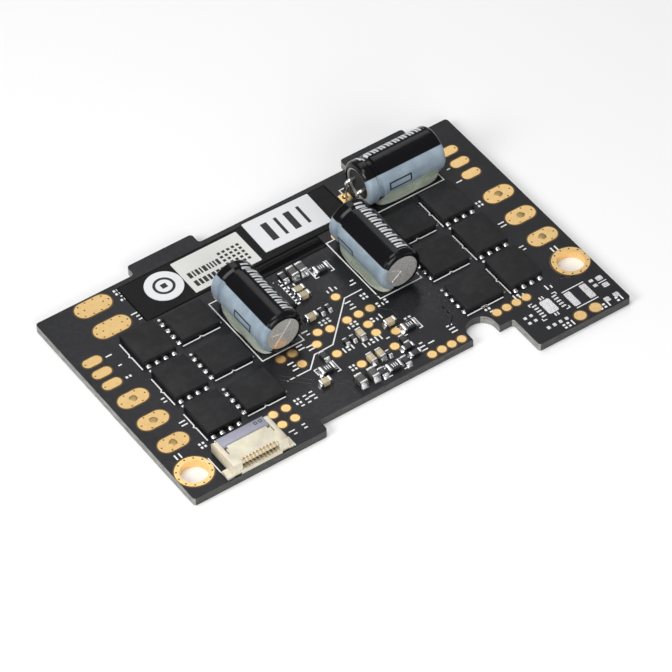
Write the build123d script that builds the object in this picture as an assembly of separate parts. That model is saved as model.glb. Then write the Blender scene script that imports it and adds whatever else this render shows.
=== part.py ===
from build123d import *
import math
import os

# Electronic speed controller: two three-phase power stages on one board. Millimetres.
# Frame: +X along the board, +Y towards the two back tabs, +Z up out of the component side.
# Origin: centre of the board's outline, on its underside.

os.makedirs("parts", exist_ok=True)

# ---------------------------------------------------------------- driving dimensions
BOARD_LENGTH = 64.0
BOARD_DEPTH = 42.3
BOARD_T = 1.2
BACK_EDGE = 19.35          # main back edge, between and beside the two back tabs
FRONT_LEFT_EDGE = -17.45   # front edge under the flat-cable connector
FRONT_MID_EDGE = -15.48    # recessed front edge
MID_EDGE_LEFT = -12.13
TAB_INNER_X = 17.65        # inner side of the deep right-hand corner
BACK_TABS = [(-17.05, -7.1), (16.15, 26.1)]
NOTCH_X = 13.48
NOTCH_Y = -14.5
NOTCH_R = 2.06
CORNER_R = 0.45

GAP = 0.01                 # between pieces that meet but mustn't overlap
STANDOFF = 0.02            # under moulded parts that sit on the board
CUT = 1.0                  # how far a cutter runs past the face it opens

PAD_T = 0.04               # copper and gold standing on the board
EDGE_INSET = 0.05          # copper stops this far inside the board's edge
VIA_R = 0.12
HOLE_R = 1.85              # finished bore of each mounting hole
EYELET_WALL = 0.17
PLATING = 0.05             # copper in the capacitors' lead holes
EYELET_R = 2.5
EYELET_POS = [(-29.44, -13.55), (29.6, -11.5)]
EYELET_VIAS = 12
EYELET_VIA_RING = 2.24

PAD_DIMPLE_R = 0.45
VIA_INSET = 0.22           # of the vias from a pad's long edges
BATTERY_VIA_X, BATTERY_OUTER_SHARE = (-1.75, -0.58, 0.58, 1.75), 0.85
BATTERY_MIDDLE_VIAS = (-2.25, -1.3, 1.5, 2.3)
MOTOR_VIA_X, MOTOR_END_VIA = 0.78, 1.72
SIGNAL_VIA_X = 1.02

BATTERY_PAD = (5.25, 2.7)
BATTERY_POS = [(-24.33, 17.65), (-24.33, 13.2)]
MOTOR_PAD = (4.25, 2.46)
LEFT_MOTOR_X, LEFT_MOTOR_Y, LEFT_MOTOR_PITCH = -28.87, 1.2, 4.58
RIGHT_MOTOR_X, RIGHT_MOTOR_Y, RIGHT_MOTOR_PITCH = 29.3, 3.83, 4.83
SIGNAL_PAD = (2.66, 1.45)
LEFT_SIGNAL_X, LEFT_SIGNAL_Y, LEFT_SIGNAL_PITCH = -29.67, 9.5, 2.32
RIGHT_SIGNAL_X, RIGHT_SIGNAL_Y, RIGHT_SIGNAL_PITCH = 28.64, 14.15, 2.56

TEST_PAD_R = 0.6
FAN_PAD_R = 0.8
TEST_PAD_POS = [
    (-16.25, -11.38), (-14.33, -11.38), (-16.25, -13.42), (-14.33, -13.42),
    (-10.17, -4.08), (-8.42, -4.08), (-8.45, -6.3), (-5.03, -4.58), (-3.78, -2.92),
    (-2.13, -3.33), (0.47, -3.33), (2.25, -3.33), (4.03, -3.33), (1.6, 0.88),
    (2.2, -5.5), (2.2, -7.28), (-3.9, -7.42), (4.37, -8.55), (-2.38, -10.72), (2.75, -10.63),
]
FRONT_PAD_ROW = (5.75, -14.53, 1.52, 4)    # first x, y, pitch, count
RIGHT_PAD_ROW = (16.6, -13.4, 1.53, 4)
FAN_PAD_POS = [(24.85, -20.0), (27.25, -20.0)]

# Tinned footprints with nothing fitted, in the deep right-hand corner
EMPTY_CHIP_POS, EMPTY_CHIP_SLUG = (22.62, -16.35), (1.55, 2.5)
EMPTY_CHIP_LAND, EMPTY_CHIP_ROWS, EMPTY_CHIP_PITCH, EMPTY_CHIP_REACH = (0.68, 0.26), 5, 0.53, 1.55
EMPTY_CHIP_END_LAND, EMPTY_CHIP_END_X, EMPTY_CHIP_END_Y = (0.22, 0.55), 0.2, 1.68
EMPTY_LANDS = [            # (centre x values, centre y values, width, depth)
    ((25.75, 28.17), (-17.05,), 0.98, 2.7),
    ((29.55,), (-15.9, -16.88), 0.58, 0.5),
    ((30.72,), (-16.08, -17.5), 0.9, 0.78),
    ((18.87, 19.77), (-16.38, -17.4), 0.44, 0.46),
    ((20.35, 21.28, 22.21, 23.14), (-19.4,), 0.46, 0.52),
    ((29.3, 30.75), (-19.7,), 0.82, 0.82),
]
LAND_ROUNDING = 0.2        # corner radius as a share of a land's short side

# Power transistors: 5 by 6 mm moulded packages, four leads at 1.27 mm on two sides
FET_WIDTH, FET_LENGTH, FET_H = 4.9, 5.75, 0.95
FET_PITCH = 1.27
FET_LEAD_W, FET_LEAD_H = 0.7, 0.26
FET_GATE_REACH, FET_DRAIN_REACH = 0.58, 0.36
FET_TOE_H, FET_SLOPE = 0.05, 0.45    # solder height at the toe, and the sloped share of the reach
FET_CHAMFER = 0.09
FET_ROW_PITCH = 7.4
FET_COLUMNS = {            # name: (x, y of the back row, turn about Z)
    "left_outer": (-22.4, 7.8, 0),
    "left_inner": (-15.85, 7.82, -90),
    "right_inner": (16.3, 5.9, 90),
    "right_outer": (22.7, 6.3, 0),
}

# Electrolytic capacitors: 6.3 mm cans laid flat, leads bent down through the board
CAP_R = 3.15               # over the sleeve
SLEEVE_T = 0.1
CAP_LENGTH = 11.9
CAN_WALL = 0.25
CAN_EDGE_R = 0.6
GROOVE_POS, GROOVE_W, GROOVE_DEPTH = 1.8, 0.5, 0.32
GROOVE_RAMP = 0.5          # half width of the groove at the can's surface
CRIMP_R, CRIMP_LIP, CRIMP_T = 0.45, 0.9, 0.25
SLEEVE_GAP = 0.004
SLEEVE_LIP = 0.65          # how far the sleeve turns in over each end
BUNG_DEPTH = 0.7           # past the groove
WINDING_GAP = 0.16         # between the winding and each end, and across its diameter
CAP_LEAD_R = 0.25
CAP_LEAD_PITCH = 2.5
CAP_LEAD_DROP = 0.92       # from the crimped end to the lead's hole in the board
CAPACITORS = [             # (x, y of the closed end, height of the axis, turn, sideways set of the holes)
    (-9.05, -3.1, 3.2, 90, 0.0),
    (9.2, -2.95, 3.35, 90, 0.0),
    (25.65, 13.35, 3.17, 180, -0.4),
]
LEAD_PAD = 1.5
LEAD_HOLE_R = 0.45
LEAD_BEND_R, LEAD_SET_R = 0.6, 0.4
LEAD_SET_SHARE = 0.8       # share of the drop after which a lead is set sideways
SOLDER_FILL = 0.85         # height of the solder inside a lead hole
GLUE_LENGTH = 9.6
GLUE_START = 0.7
GLUE_CHAMFER = 0.25
GLUE_SHARP_BELOW, GLUE_SHARP_WITHIN = 0.2, 2.4    # end edges by the board or under the can stay sharp
GLUE_PROFILE = [           # (out from under the axis, up from the board)
    (0.9, 0), (2.55, 0), (2.98, 0.35), (3.12, 0.95), (3.02, 1.6), (2.6, 1.95), (0.9, 1.2),
]

# Flat-cable connector: 0.5 mm pitch, cable goes in at the board's edge, flip latch at the back
FFC_X = -21.87
FFC_FRONT, FFC_SHOULDER, FFC_BACK = -17.4, -17.2, -12.1
FFC_ROOF = -16.75          # front edge of the roof, set back so the contacts show
FFC_LIP_HALF = 3.0
FFC_HALF = 4.08
FFC_H = 1.95
FFC_FOOT_HALF = 4.95
FFC_FOOT_Y = (-17.25, -15.8)
FFC_FOOT_Z = (0.17, 0.4)
FFC_EAR_CHAMFER, FFC_EDGE_CHAMFER = 0.5, 0.12
POCKET_X, SLOT_W = 2.9, 0.2    # relief pockets and slots beside the latch
POCKET_REACH, SLOT_REACH, RELIEF_FLOOR = 0.45, 1.3, 0.9
FFC_MOUTH_HALF = 2.75
FFC_MOUTH_Z = (0.55, 1.65)
FFC_MOUTH_DEPTH = 3.1
FFC_COUNT, FFC_PITCH = 10, 0.5
CONTACT_W = 0.2
CONTACT_PLAY = 0.03        # each side of a contact in its slot
CONTACT_FOOT = 0.3         # underside of the lower arm
CONTACT_ARM = 0.48         # top of the lower arm
CONTACT_JAW = 1.55         # underside of the upper arm
CONTACT_TOP = 1.72
CONTACT_REACH = 3.4        # back of the contact, from the housing's front
CONTACT_SETBACK = 0.3      # of the slots from the housing's front, and of the tails from its back
CONTACT_SPINE, CONTACT_NOSE, CONTACT_BITE = 0.3, 0.4, 0.15
TAIL_T, TAIL_REACH, TAIL_HEEL, TAIL_SETBACK = 0.14, 0.45, 0.12, 0.35
SLOT_ROOM = 0.12           # over the lower arm in its slot
COMB_DEPTH, COMB_FLOOR = 0.85, 1.0    # notches in the roof over the contacts
OVERLAP = 0.1              # of blocks that are joined into one body
HOLD_DOWN_T, HOLD_DOWN_MARGIN = 0.15, 0.08
LATCH_AXIS_Y, LATCH_AXIS_Z = -13.35, 1.45
LATCH_R = 0.48
LATCH_HALF = 3.4
LATCH_BACK = -12.15
LATCH_T = 0.5
PIVOT_R = 0.2
PIVOT_REACH = 3.85
PIVOT_PLAY = 0.04
GRIP_HALF, GRIP_DEPTH, GRIP_RISE = 0.9, 0.35, 0.18    # finger cut under the latch's edge
RUN = 0.05                 # running clearance at the latch

LABEL_T = 0.1
LABEL_CORNER_R = 0.15
TAPE_T = 0.05
TAPE = [(-20.3, 11.9, 11.3, 18.6), (-5.6, 5.9, 9.0, 11.3)]    # x0, x1, y0, y1 of each stretch
SERIAL_LABEL = (-7.35, 14.95, 10.1, 6.2, 0.0)       # x, y, width, depth, turn
SIDE_LABEL = (3.95, 15.5, 10.1, 6.05, -1.6)
ROUND_LABEL = (-15.1, 15.3, 2.6)                    # x, y, radius

# Chip parts: (x, y, turn), and their size as (length, width, height, length of each end cap)
MLCC_SIZE = (1.6, 0.85, 0.8, 0.32)
MLCC_POS = [
    (-1.7, 4.4, 0), (-1.67, 3.2, 0), (-3.05, -0.5, 0), (0.28, -6.6, 90), (4.5, -7.05, 0),
    (-1.05, -10.95, 90), (0.3, -10.95, 90), (-8.0, -10.87, 0),
]
BEAD_SIZE = (1.8, 1.05, 1.0, 0.42)
BEAD_POS = [(-0.72, 7.25, 90), (0.58, 7.25, 90), (-4.32, -13.35, 90), (-2.45, -13.35, 90)]
CHIP_SIZE = (1.6, 0.8, 0.45, 0.3)
CHIP_POS = [
    (-1.95, 7.55, 90), (4.2, -10.5, 90), (3.95, -11.8, 0), (4.1, -13.25, 0), (2.35, -13.65, 90),
    (-1.2, -13.6, 90), (-5.55, -6.95, 90),
]
SMALL_CHIP_SIZE = (1.05, 0.55, 0.38, 0.22)
SMALL_CHIP_POS = [
    (-3.2, 7.1, 0), (-2.05, 5.5, 0), (-1.4, -0.25, 90), (-0.3, -0.25, 90), (-1.85, -6.5, 90),
    (-0.8, -6.5, 90), (1.35, -11.3, 90),
]
SENSE_SIZE = (2.0, 1.25, 0.55, 0.35)
SENSE_POS = [(2.85, 6.0, 0), (6.2, -8.9, 0), (0.62, -13.6, 0), (-6.45, -9.05, 0)]

CHIP_CAP_GAP = 0.002       # between an end cap and the body
TOE_REACH, TOE_SHOULDER = 0.3, 0.12    # solder outside an end cap
TOE_SHOULDER_SHARE, TOE_TOP_SHARE = 0.3, 0.62

CONTROLLER = (-5.0, 4.6, 3.0, 4.4, 1.0)             # x, y, width, depth, height
CONTROLLER_LEADS, CONTROLLER_PITCH, CONTROLLER_LEAD_W = 7, 0.65, 0.26
PACKAGE_STANDOFF, PACKAGE_CHAMFER = 0.1, 0.08
DIMPLE_INSET, DIMPLE_R, DIMPLE_DEPTH = 0.45, 0.2, 0.05
GULL_REACH, GULL_T, GULL_FOOT_T = 0.85, 0.13, 0.12
GULL_SHOULDER, GULL_ANKLE = 0.25, 0.4

TOP = BOARD_T


# ---------------------------------------------------------------- helpers
def save(name, shapes):
    """One STEP per sub-part: a single solid, or a group of separate solids."""
    parts = [s for shape in shapes for s in shape.solids()]
    export_step(parts[0] if len(parts) == 1 else Compound(children=parts), f"parts/{name}.step")


def block(x0, x1, y0, y1, z0, z1):
    size = (x1 - x0, y1 - y0, z1 - z0)
    return Pos((x0 + x1) / 2, (y0 + y1) / 2, (z0 + z1) / 2) * Box(*size)


def disc(x, y, z0, z1, radius):
    return Pos(x, y, (z0 + z1) / 2) * Cylinder(radius, z1 - z0)


def slab(outline, z0, z1):
    return Pos(0, 0, z0) * extrude(outline, z1 - z0)


def column(x, first_y, pitch, count):
    return [(x, first_y - i * pitch) for i in range(count)]


def top_edges(solid):
    return solid.edges().group_by(Axis.Z)[-1]


# ---------------------------------------------------------------- board
def board_outline():
    half = BOARD_LENGTH / 2
    front = -BOARD_DEPTH / 2
    back = BOARD_DEPTH / 2
    corners = [
        (-half, BACK_EDGE), (-half, FRONT_LEFT_EDGE),
        (MID_EDGE_LEFT, FRONT_LEFT_EDGE), (MID_EDGE_LEFT, FRONT_MID_EDGE),
        (TAB_INNER_X, FRONT_MID_EDGE), (TAB_INNER_X, front), (half, front), (half, BACK_EDGE),
    ]
    for x0, x1 in reversed(BACK_TABS):
        corners += [(x1, BACK_EDGE), (x1, back), (x0, back), (x0, BACK_EDGE)]
    face = make_face(Polyline(*corners, close=True))
    face = fillet(face.vertices(), CORNER_R)
    notch = Pos(NOTCH_X, NOTCH_Y) * Circle(NOTCH_R)
    notch += Pos(NOTCH_X, NOTCH_Y - NOTCH_R) * Rectangle(2 * NOTCH_R, 2 * NOTCH_R)
    return face - notch


def capacitor_place(cap):
    """Local frame of a capacitor: its axis runs along +X from the closed end."""
    x, y, axis_height, turn, _ = cap
    return Location((x, y, TOP + axis_height), (0, 0, turn))


def lead_holes(cap):
    x, y, _, turn, shift = cap
    place = Location((x, y, 0), (0, 0, turn))
    along = CAP_LENGTH + CAP_LEAD_DROP
    sides = (CAP_LEAD_PITCH / 2, -CAP_LEAD_PITCH / 2)
    return [(place * Pos(along, side + shift, 0)).position for side in sides]


ALL_LEAD_HOLES = [hole for cap in CAPACITORS for hole in lead_holes(cap)]


def circuit_board():
    board = slab(board_outline(), 0, BOARD_T)
    for x, y in EYELET_POS:
        board -= disc(x, y, -CUT, BOARD_T + CUT, HOLE_R + EYELET_WALL)
        board -= disc(x, y, -CUT, PAD_T, EYELET_R)
    for hole in ALL_LEAD_HOLES:
        board -= disc(hole.X, hole.Y, -CUT, BOARD_T + CUT, LEAD_HOLE_R + PLATING)
        board -= disc(hole.X, hole.Y, -CUT, PAD_T, LEAD_PAD / 2)
    return board


def mounting_eyelet(x, y):
    """Plated hole with a ring of stitching vias, gold on both faces."""
    ring = Circle(EYELET_R)
    ring -= PolarLocations(EYELET_VIA_RING, EYELET_VIAS) * Circle(VIA_R)
    inside = Rectangle(BOARD_LENGTH - 2 * EDGE_INSET, BOARD_DEPTH - 2 * EDGE_INSET)
    eyelet = slab((Pos(x, y) * ring) & inside, TOP, TOP + PAD_T)
    eyelet += slab((Pos(x, y) * Circle(EYELET_R)) & inside, 0, PAD_T)
    eyelet += disc(x, y, 0, TOP + PAD_T, HOLE_R + EYELET_WALL)
    return eyelet - disc(x, y, -CUT, TOP + CUT, HOLE_R)


def slot_pad(x, y, size, vias, dimple=PAD_DIMPLE_R):
    """Solder pad with stadium ends, open vias and, unless dimple is 0, a shallow round dimple."""
    outline = SlotOverall(*size)
    for vx, vy in vias:
        outline -= Pos(vx, vy) * Circle(VIA_R)
    pad = Pos(x, y, TOP) * extrude(outline, PAD_T)
    if dimple:
        pad -= disc(x, y, TOP + PAD_T / 2, TOP + CUT, dimple)
    return pad


def battery_vias():
    """Two rows along the long edges, the outer ones drawn in at the round ends, and one down the middle."""
    edge_y = BATTERY_PAD[1] / 2 - VIA_INSET
    outermost = max(BATTERY_VIA_X)
    vias = [(x, 0) for x in BATTERY_MIDDLE_VIAS]
    for x in BATTERY_VIA_X:
        share = BATTERY_OUTER_SHARE if abs(x) == outermost else 1
        vias += [(x, side * edge_y * share) for side in (1, -1)]
    return vias


def motor_vias():
    edge_y = MOTOR_PAD[1] / 2 - VIA_INSET
    vias = [(x, side * edge_y) for x in (-MOTOR_VIA_X, MOTOR_VIA_X) for side in (1, -1)]
    return vias + [(MOTOR_END_VIA, 0), (-MOTOR_END_VIA, 0)]


def signal_pad(x, y, outward):
    return slot_pad(x, y, SIGNAL_PAD, [(outward * SIGNAL_VIA_X, 0)], dimple=0)


def test_pads():
    places = list(TEST_PAD_POS)
    for x, y, pitch, count in (FRONT_PAD_ROW, RIGHT_PAD_ROW):
        places += [(x + i * pitch, y) for i in range(count)]
    pads = [disc(x, y, TOP, TOP + PAD_T, TEST_PAD_R) for x, y in places]
    return pads + [disc(x, y, TOP, TOP + PAD_T, FAN_PAD_R) for x, y in FAN_PAD_POS]


def lead_pads():
    pads = []
    for i, hole in enumerate(ALL_LEAD_HOLES):
        square = i % 2 == 1
        outline = Rectangle(LEAD_PAD, LEAD_PAD) if square else Circle(LEAD_PAD / 2)
        pad = Pos(hole.X, hole.Y, TOP) * extrude(outline, PAD_T)
        pad += disc(hole.X, hole.Y, 0, PAD_T, LEAD_PAD / 2)
        pad += disc(hole.X, hole.Y, 0, TOP, LEAD_HOLE_R + PLATING)
        pads.append(pad - disc(hole.X, hole.Y, -CUT, TOP + CUT, LEAD_HOLE_R))
    return pads


def solder_joints():
    joints = []
    for hole in ALL_LEAD_HOLES:
        plug = disc(hole.X, hole.Y, 0, SOLDER_FILL, LEAD_HOLE_R - GAP)
        joints.append(plug - disc(hole.X, hole.Y, -CUT, TOP + CUT, CAP_LEAD_R + GAP / 2))
    return joints


def land(x, y, width, depth):
    rounding = min(width, depth) * LAND_ROUNDING
    return Pos(x, y, TOP) * extrude(RectangleRounded(width, depth, rounding), PAD_T)


def bare_footprints():
    """Tinned lands: one ten-lead package with its heat slug, and the loose parts around it."""
    chip_x, chip_y = EMPTY_CHIP_POS
    lands = [land(chip_x, chip_y, *EMPTY_CHIP_SLUG)]
    for side in (1, -1):
        for row in range(EMPTY_CHIP_ROWS):
            y = chip_y + (row - (EMPTY_CHIP_ROWS - 1) / 2) * EMPTY_CHIP_PITCH
            lands.append(land(chip_x + side * EMPTY_CHIP_REACH, y, *EMPTY_CHIP_LAND))
        for x in (-EMPTY_CHIP_END_X, EMPTY_CHIP_END_X):
            lands.append(land(chip_x + x, chip_y + side * EMPTY_CHIP_END_Y, *EMPTY_CHIP_END_LAND))
    for xs, ys, width, depth in EMPTY_LANDS:
        lands += [land(x, y, width, depth) for x in xs for y in ys]
    return lands


# ---------------------------------------------------------------- power transistors
def fet_body():
    body = Pos(0, 0, FET_H / 2 + STANDOFF) * Box(FET_WIDTH, FET_LENGTH, FET_H - 2 * STANDOFF)
    return chamfer(top_edges(body), FET_CHAMFER)


def fet_leads():
    """Gate and source leads to -Y, drain leads to +Y, each in its wedge of solder."""
    leads = []
    for side, reach in ((-1, FET_GATE_REACH), (1, FET_DRAIN_REACH)):
        start = side * (FET_LENGTH / 2 + GAP / 2)
        tip = start + side * reach
        knee = tip - side * reach * FET_SLOPE
        profile = [(start, 0), (tip, 0), (tip, FET_TOE_H), (knee, FET_LEAD_H), (start, FET_LEAD_H)]
        face = Plane.YZ * make_face(Polyline(*profile, close=True))
        wedge = Pos(-FET_LEAD_W / 2, 0, 0) * extrude(face, FET_LEAD_W, dir=(1, 0, 0))
        leads += [Pos((i - 1.5) * FET_PITCH, 0, 0) * wedge for i in range(4)]
    return leads


def fet_places(column_name):
    x, y, turn = FET_COLUMNS[column_name]
    return [Location((x, y - row * FET_ROW_PITCH, TOP), (0, 0, turn)) for row in range(3)]


# ---------------------------------------------------------------- electrolytic capacitors
def revolve_about_x(points):
    profile = make_face(Polyline(*points, close=True))
    return revolve(profile, Axis.X, 360)


def corner_points(x, r, radius, start, stop, steps=5):
    """Points of a rounded corner about (x, r), angles in degrees from +X."""
    angles = [math.radians(start + (stop - start) * i / steps) for i in range(steps + 1)]
    return [(x + radius * math.cos(a), r + radius * math.sin(a)) for a in angles]


def can_outer(offset):
    """Outside of the can, grown by offset, from the closed end to the crimp."""
    radius = CAP_R - SLEEVE_T
    length = CAP_LENGTH
    groove = length - GROOVE_POS
    points = corner_points(CAN_EDGE_R, radius - CAN_EDGE_R, CAN_EDGE_R + offset, 180, 90)
    floor = radius - GROOVE_DEPTH + offset
    points += [(groove - GROOVE_RAMP, radius + offset), (groove - GROOVE_W / 2, floor)]
    points += [(groove + GROOVE_W / 2, floor), (groove + GROOVE_RAMP, radius + offset)]
    return points + corner_points(length - CRIMP_R, radius - CRIMP_R, CRIMP_R + offset, 90, 0)


def capacitor_can():
    radius = CAP_R - SLEEVE_T
    inner = radius - CAN_WALL
    groove = CAP_LENGTH - GROOVE_POS
    dip = inner - GROOVE_DEPTH
    crimp = CAP_LENGTH - CRIMP_T
    inside = [(CAP_LENGTH, radius - CRIMP_LIP), (crimp, radius - CRIMP_LIP), (crimp, inner)]
    inside += [(groove + GROOVE_RAMP, inner), (groove + GROOVE_W / 2, dip), (groove - GROOVE_W / 2, dip)]
    inside += [(groove - GROOVE_RAMP, inner), (CAN_WALL, inner), (CAN_WALL, 0)]
    return revolve_about_x([(0, 0)] + can_outer(0) + inside)


def capacitor_sleeve():
    """Shrunk sleeve, turned in over both ends of the can."""
    outside = can_outer(SLEEVE_T)
    inside = can_outer(SLEEVE_GAP)
    lip = CAP_R - SLEEVE_T - SLEEVE_LIP
    closed_end = [(-SLEEVE_GAP, lip), (-SLEEVE_T, lip)]
    crimp_end = [(CAP_LENGTH + SLEEVE_T, lip), (CAP_LENGTH + SLEEVE_GAP, lip)]
    return revolve_about_x(closed_end + outside + crimp_end + inside[::-1])


def capacitor_bung():
    """Rubber bung: gripped by the groove, with a full-width head under the crimp."""
    head = CAP_R - SLEEVE_T - CAN_WALL - GAP
    waist = head - GROOVE_DEPTH
    start = CAP_LENGTH - GROOVE_POS - BUNG_DEPTH
    step = CAP_LENGTH - GROOVE_POS + GROOVE_RAMP + 2 * GAP
    end = CAP_LENGTH - CRIMP_T - GAP
    profile = [(start, 0), (start, waist), (step, waist), (step, head), (end, head), (end, 0)]
    bung = revolve_about_x(profile)
    for side in (1, -1):
        middle = Pos((start + end) / 2, side * CAP_LEAD_PITCH / 2, 0)
        bung -= middle * Rot(0, 90, 0) * Cylinder(CAP_LEAD_R + GAP, end - start + 2 * CUT)
    return bung


def capacitor_winding():
    radius = CAP_R - SLEEVE_T - CAN_WALL - WINDING_GAP / 2
    start = CAN_WALL + WINDING_GAP
    end = CAP_LENGTH - GROOVE_POS - BUNG_DEPTH - WINDING_GAP
    return Pos((start + end) / 2, 0, 0) * Rot(0, 90, 0) * Cylinder(radius, end - start)


def capacitor_leads(cap):
    """Two wires: out of the bung, over, and down through the board to its underside."""
    axis_height, shift = cap[2], cap[4]
    start = CAP_LENGTH - GROOVE_POS - BUNG_DEPTH
    over = CAP_LENGTH + CAP_LEAD_DROP
    wires = []
    for side in (1, -1):
        y = side * CAP_LEAD_PITCH / 2
        route = [(start, y, 0), (over, y, 0)]
        radii = [LEAD_BEND_R]
        if shift:
            route.append((over, y + shift, -axis_height * LEAD_SET_SHARE))
            radii.append(LEAD_SET_R)
        route.append((over, y + shift, -(axis_height + TOP)))
        path = FilletPolyline(*route, radius=radii)
        section = Plane(origin=route[0], z_dir=(1, 0, 0)) * Circle(CAP_LEAD_R)
        wires.append(sweep(section, path))
    return wires


def glue_bead(cap):
    """Adhesive fillet between the sleeve and the board, along one side of the can."""
    axis_height = cap[2]
    profile = [(y, z - axis_height) for y, z in GLUE_PROFILE]
    face = Plane.YZ * make_face(Polyline(*profile, close=True))
    bead = Pos(GLUE_START, 0, 0) * extrude(face, GLUE_LENGTH, dir=(1, 0, 0))
    ends = [e for e in bead.edges().filter_by(Plane.YZ) if e.center().Z + axis_height > GLUE_SHARP_BELOW]
    bead = chamfer([e for e in ends if e.center().Y > GLUE_SHARP_WITHIN], GLUE_CHAMFER)
    clear = Pos(CAP_LENGTH / 2, 0, 0) * Rot(0, 90, 0) * Cylinder(CAP_R + GAP / 2, CAP_LENGTH * 2)
    return bead - clear


# ---------------------------------------------------------------- flat-cable connector
def contact_offsets():
    return [(i - (FFC_COUNT - 1) / 2) * FFC_PITCH for i in range(FFC_COUNT)]


def ffc_housing():
    mouth_floor, mouth_roof = FFC_MOUTH_Z
    body = block(-FFC_HALF, FFC_HALF, FFC_SHOULDER, FFC_BACK, STANDOFF, FFC_H)
    ear_tops = [e for e in top_edges(body) if e.center().Y > FFC_BACK - GAP]
    body = chamfer(ear_tops, FFC_EAR_CHAMFER)
    front_top = [e for e in top_edges(body) if e.center().Y < FFC_SHOULDER + GAP]
    body = chamfer(front_top, FFC_EDGE_CHAMFER)
    body += block(-FFC_LIP_HALF, FFC_LIP_HALF, FFC_FRONT, FFC_SHOULDER + OVERLAP, STANDOFF, mouth_floor)
    body += block(-FFC_FOOT_HALF, FFC_FOOT_HALF, *FFC_FOOT_Y, *FFC_FOOT_Z)

    before = FFC_FRONT - CUT
    above = FFC_H + CUT
    mouth = FFC_MOUTH_HALF
    body -= block(-mouth, mouth, before, FFC_FRONT + FFC_MOUTH_DEPTH, mouth_floor, mouth_roof)
    body -= block(-mouth, mouth, before, FFC_ROOF, mouth_floor, above)

    wall = LATCH_AXIS_Y - LATCH_R - RUN
    bay = LATCH_HALF + RUN
    body -= block(-bay, bay, wall, FFC_BACK + CUT, LATCH_AXIS_Z - LATCH_R - RUN, above)
    for x0, x1, reach in ((POCKET_X, bay, POCKET_REACH), (bay - SLOT_W, bay, SLOT_REACH)):
        for left, right in ((x0, x1), (-x1, -x0)):
            body -= block(left, right, wall - reach, wall + OVERLAP, RELIEF_FLOOR, above)
    bearing = Cylinder(PIVOT_R + PIVOT_PLAY, 2 * PIVOT_REACH + OVERLAP)
    body -= Pos(0, LATCH_AXIS_Y, LATCH_AXIS_Z) * Rot(0, 90, 0) * bearing

    half = CONTACT_W / 2 + CONTACT_PLAY
    foot = CONTACT_FOOT - CONTACT_PLAY
    arm = CONTACT_ARM + SLOT_ROOM
    behind = FFC_BACK + CUT
    for x in contact_offsets():
        for y0, y1, z0, z1 in (
            (FFC_FRONT + CONTACT_SETBACK, behind, foot, arm),
            (FFC_BACK - TAIL_SETBACK, behind, -CUT, arm),
            (before, FFC_FRONT + COMB_DEPTH, COMB_FLOOR, above),
            (FFC_FRONT + CONTACT_SETBACK, FFC_FRONT + CONTACT_REACH + RUN, foot, CONTACT_TOP + RUN),
        ):
            body -= block(x - half, x + half, y0, y1, z0, z1)
    return Pos(FFC_X, 0, TOP) * body


def ffc_contact():
    """U-shaped spring: two arms round the cable's slot, and a tail down to the board at the back."""
    nose = FFC_FRONT + CONTACT_SETBACK + RUN
    throat = nose + CONTACT_NOSE
    back = FFC_FRONT + CONTACT_REACH
    spine = back - CONTACT_SPINE
    tail = FFC_BACK - CONTACT_SETBACK
    heel = FFC_BACK - TAIL_HEEL
    tip = FFC_BACK + TAIL_REACH
    points = [
        (nose, CONTACT_FOOT), (tail, CONTACT_FOOT), (tail, 0), (tip, 0), (tip, TAIL_T), (heel, TAIL_T),
        (heel, CONTACT_ARM), (back, CONTACT_ARM), (back, CONTACT_TOP), (nose + RUN, CONTACT_TOP),
        (nose, CONTACT_JAW - CONTACT_BITE), (throat, CONTACT_JAW), (spine, CONTACT_JAW),
        (spine, CONTACT_ARM), (throat, CONTACT_ARM), (nose + CONTACT_NOSE / 2, CONTACT_ARM + CONTACT_BITE),
        (nose, CONTACT_ARM),
    ]
    face = Plane.YZ * make_face(Polyline(*points, close=True))
    return Pos(-CONTACT_W / 2, 0, 0) * extrude(face, CONTACT_W, dir=(1, 0, 0))


def ffc_contacts():
    contact = ffc_contact()
    return [Pos(FFC_X + x, 0, TOP) * contact for x in contact_offsets()]


def ffc_hold_downs():
    """Solder plates under the housing's two feet, a little wider than the feet."""
    inner = FFC_HALF + CONTACT_PLAY
    outer = FFC_FOOT_HALF + OVERLAP
    y0 = FFC_FOOT_Y[0] - HOLD_DOWN_MARGIN
    y1 = FFC_FOOT_Y[1] + HOLD_DOWN_MARGIN
    sides = ((inner, outer), (-outer, -inner))
    return [Pos(FFC_X, 0, TOP) * block(x0, x1, y0, y1, 0, HOLD_DOWN_T) for x0, x1 in sides]


def ffc_latch():
    """Flip latch, shut. It turns about X at its front; the round nose clears the housing."""
    y, z = LATCH_AXIS_Y, LATCH_AXIS_Z
    nose = Pos(0, y, z) * Rot(0, 90, 0) * Cylinder(LATCH_R, 2 * LATCH_HALF)
    plate = block(-LATCH_HALF, LATCH_HALF, y, LATCH_BACK, z + LATCH_R - LATCH_T, z + LATCH_R)
    rim = [e for e in top_edges(plate) if e.center().Y > LATCH_BACK - GAP]
    plate = chamfer(rim, FFC_EDGE_CHAMFER)
    latch = nose + plate
    latch += Pos(0, y, z) * Rot(0, 90, 0) * Cylinder(PIVOT_R, 2 * PIVOT_REACH)
    grip_top = z + LATCH_R - LATCH_T + GRIP_RISE
    grip = block(-GRIP_HALF, GRIP_HALF, LATCH_BACK - GRIP_DEPTH, LATCH_BACK + CUT, z - CUT, grip_top)
    return Pos(FFC_X, 0, TOP) * (latch - grip)


# ---------------------------------------------------------------- chip parts and packages
def chip_body(size):
    length, width, height, cap = size
    middle = length - 2 * cap
    return Pos(0, 0, height / 2 + GAP) * Box(middle, width, height - 2 * GAP)


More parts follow.
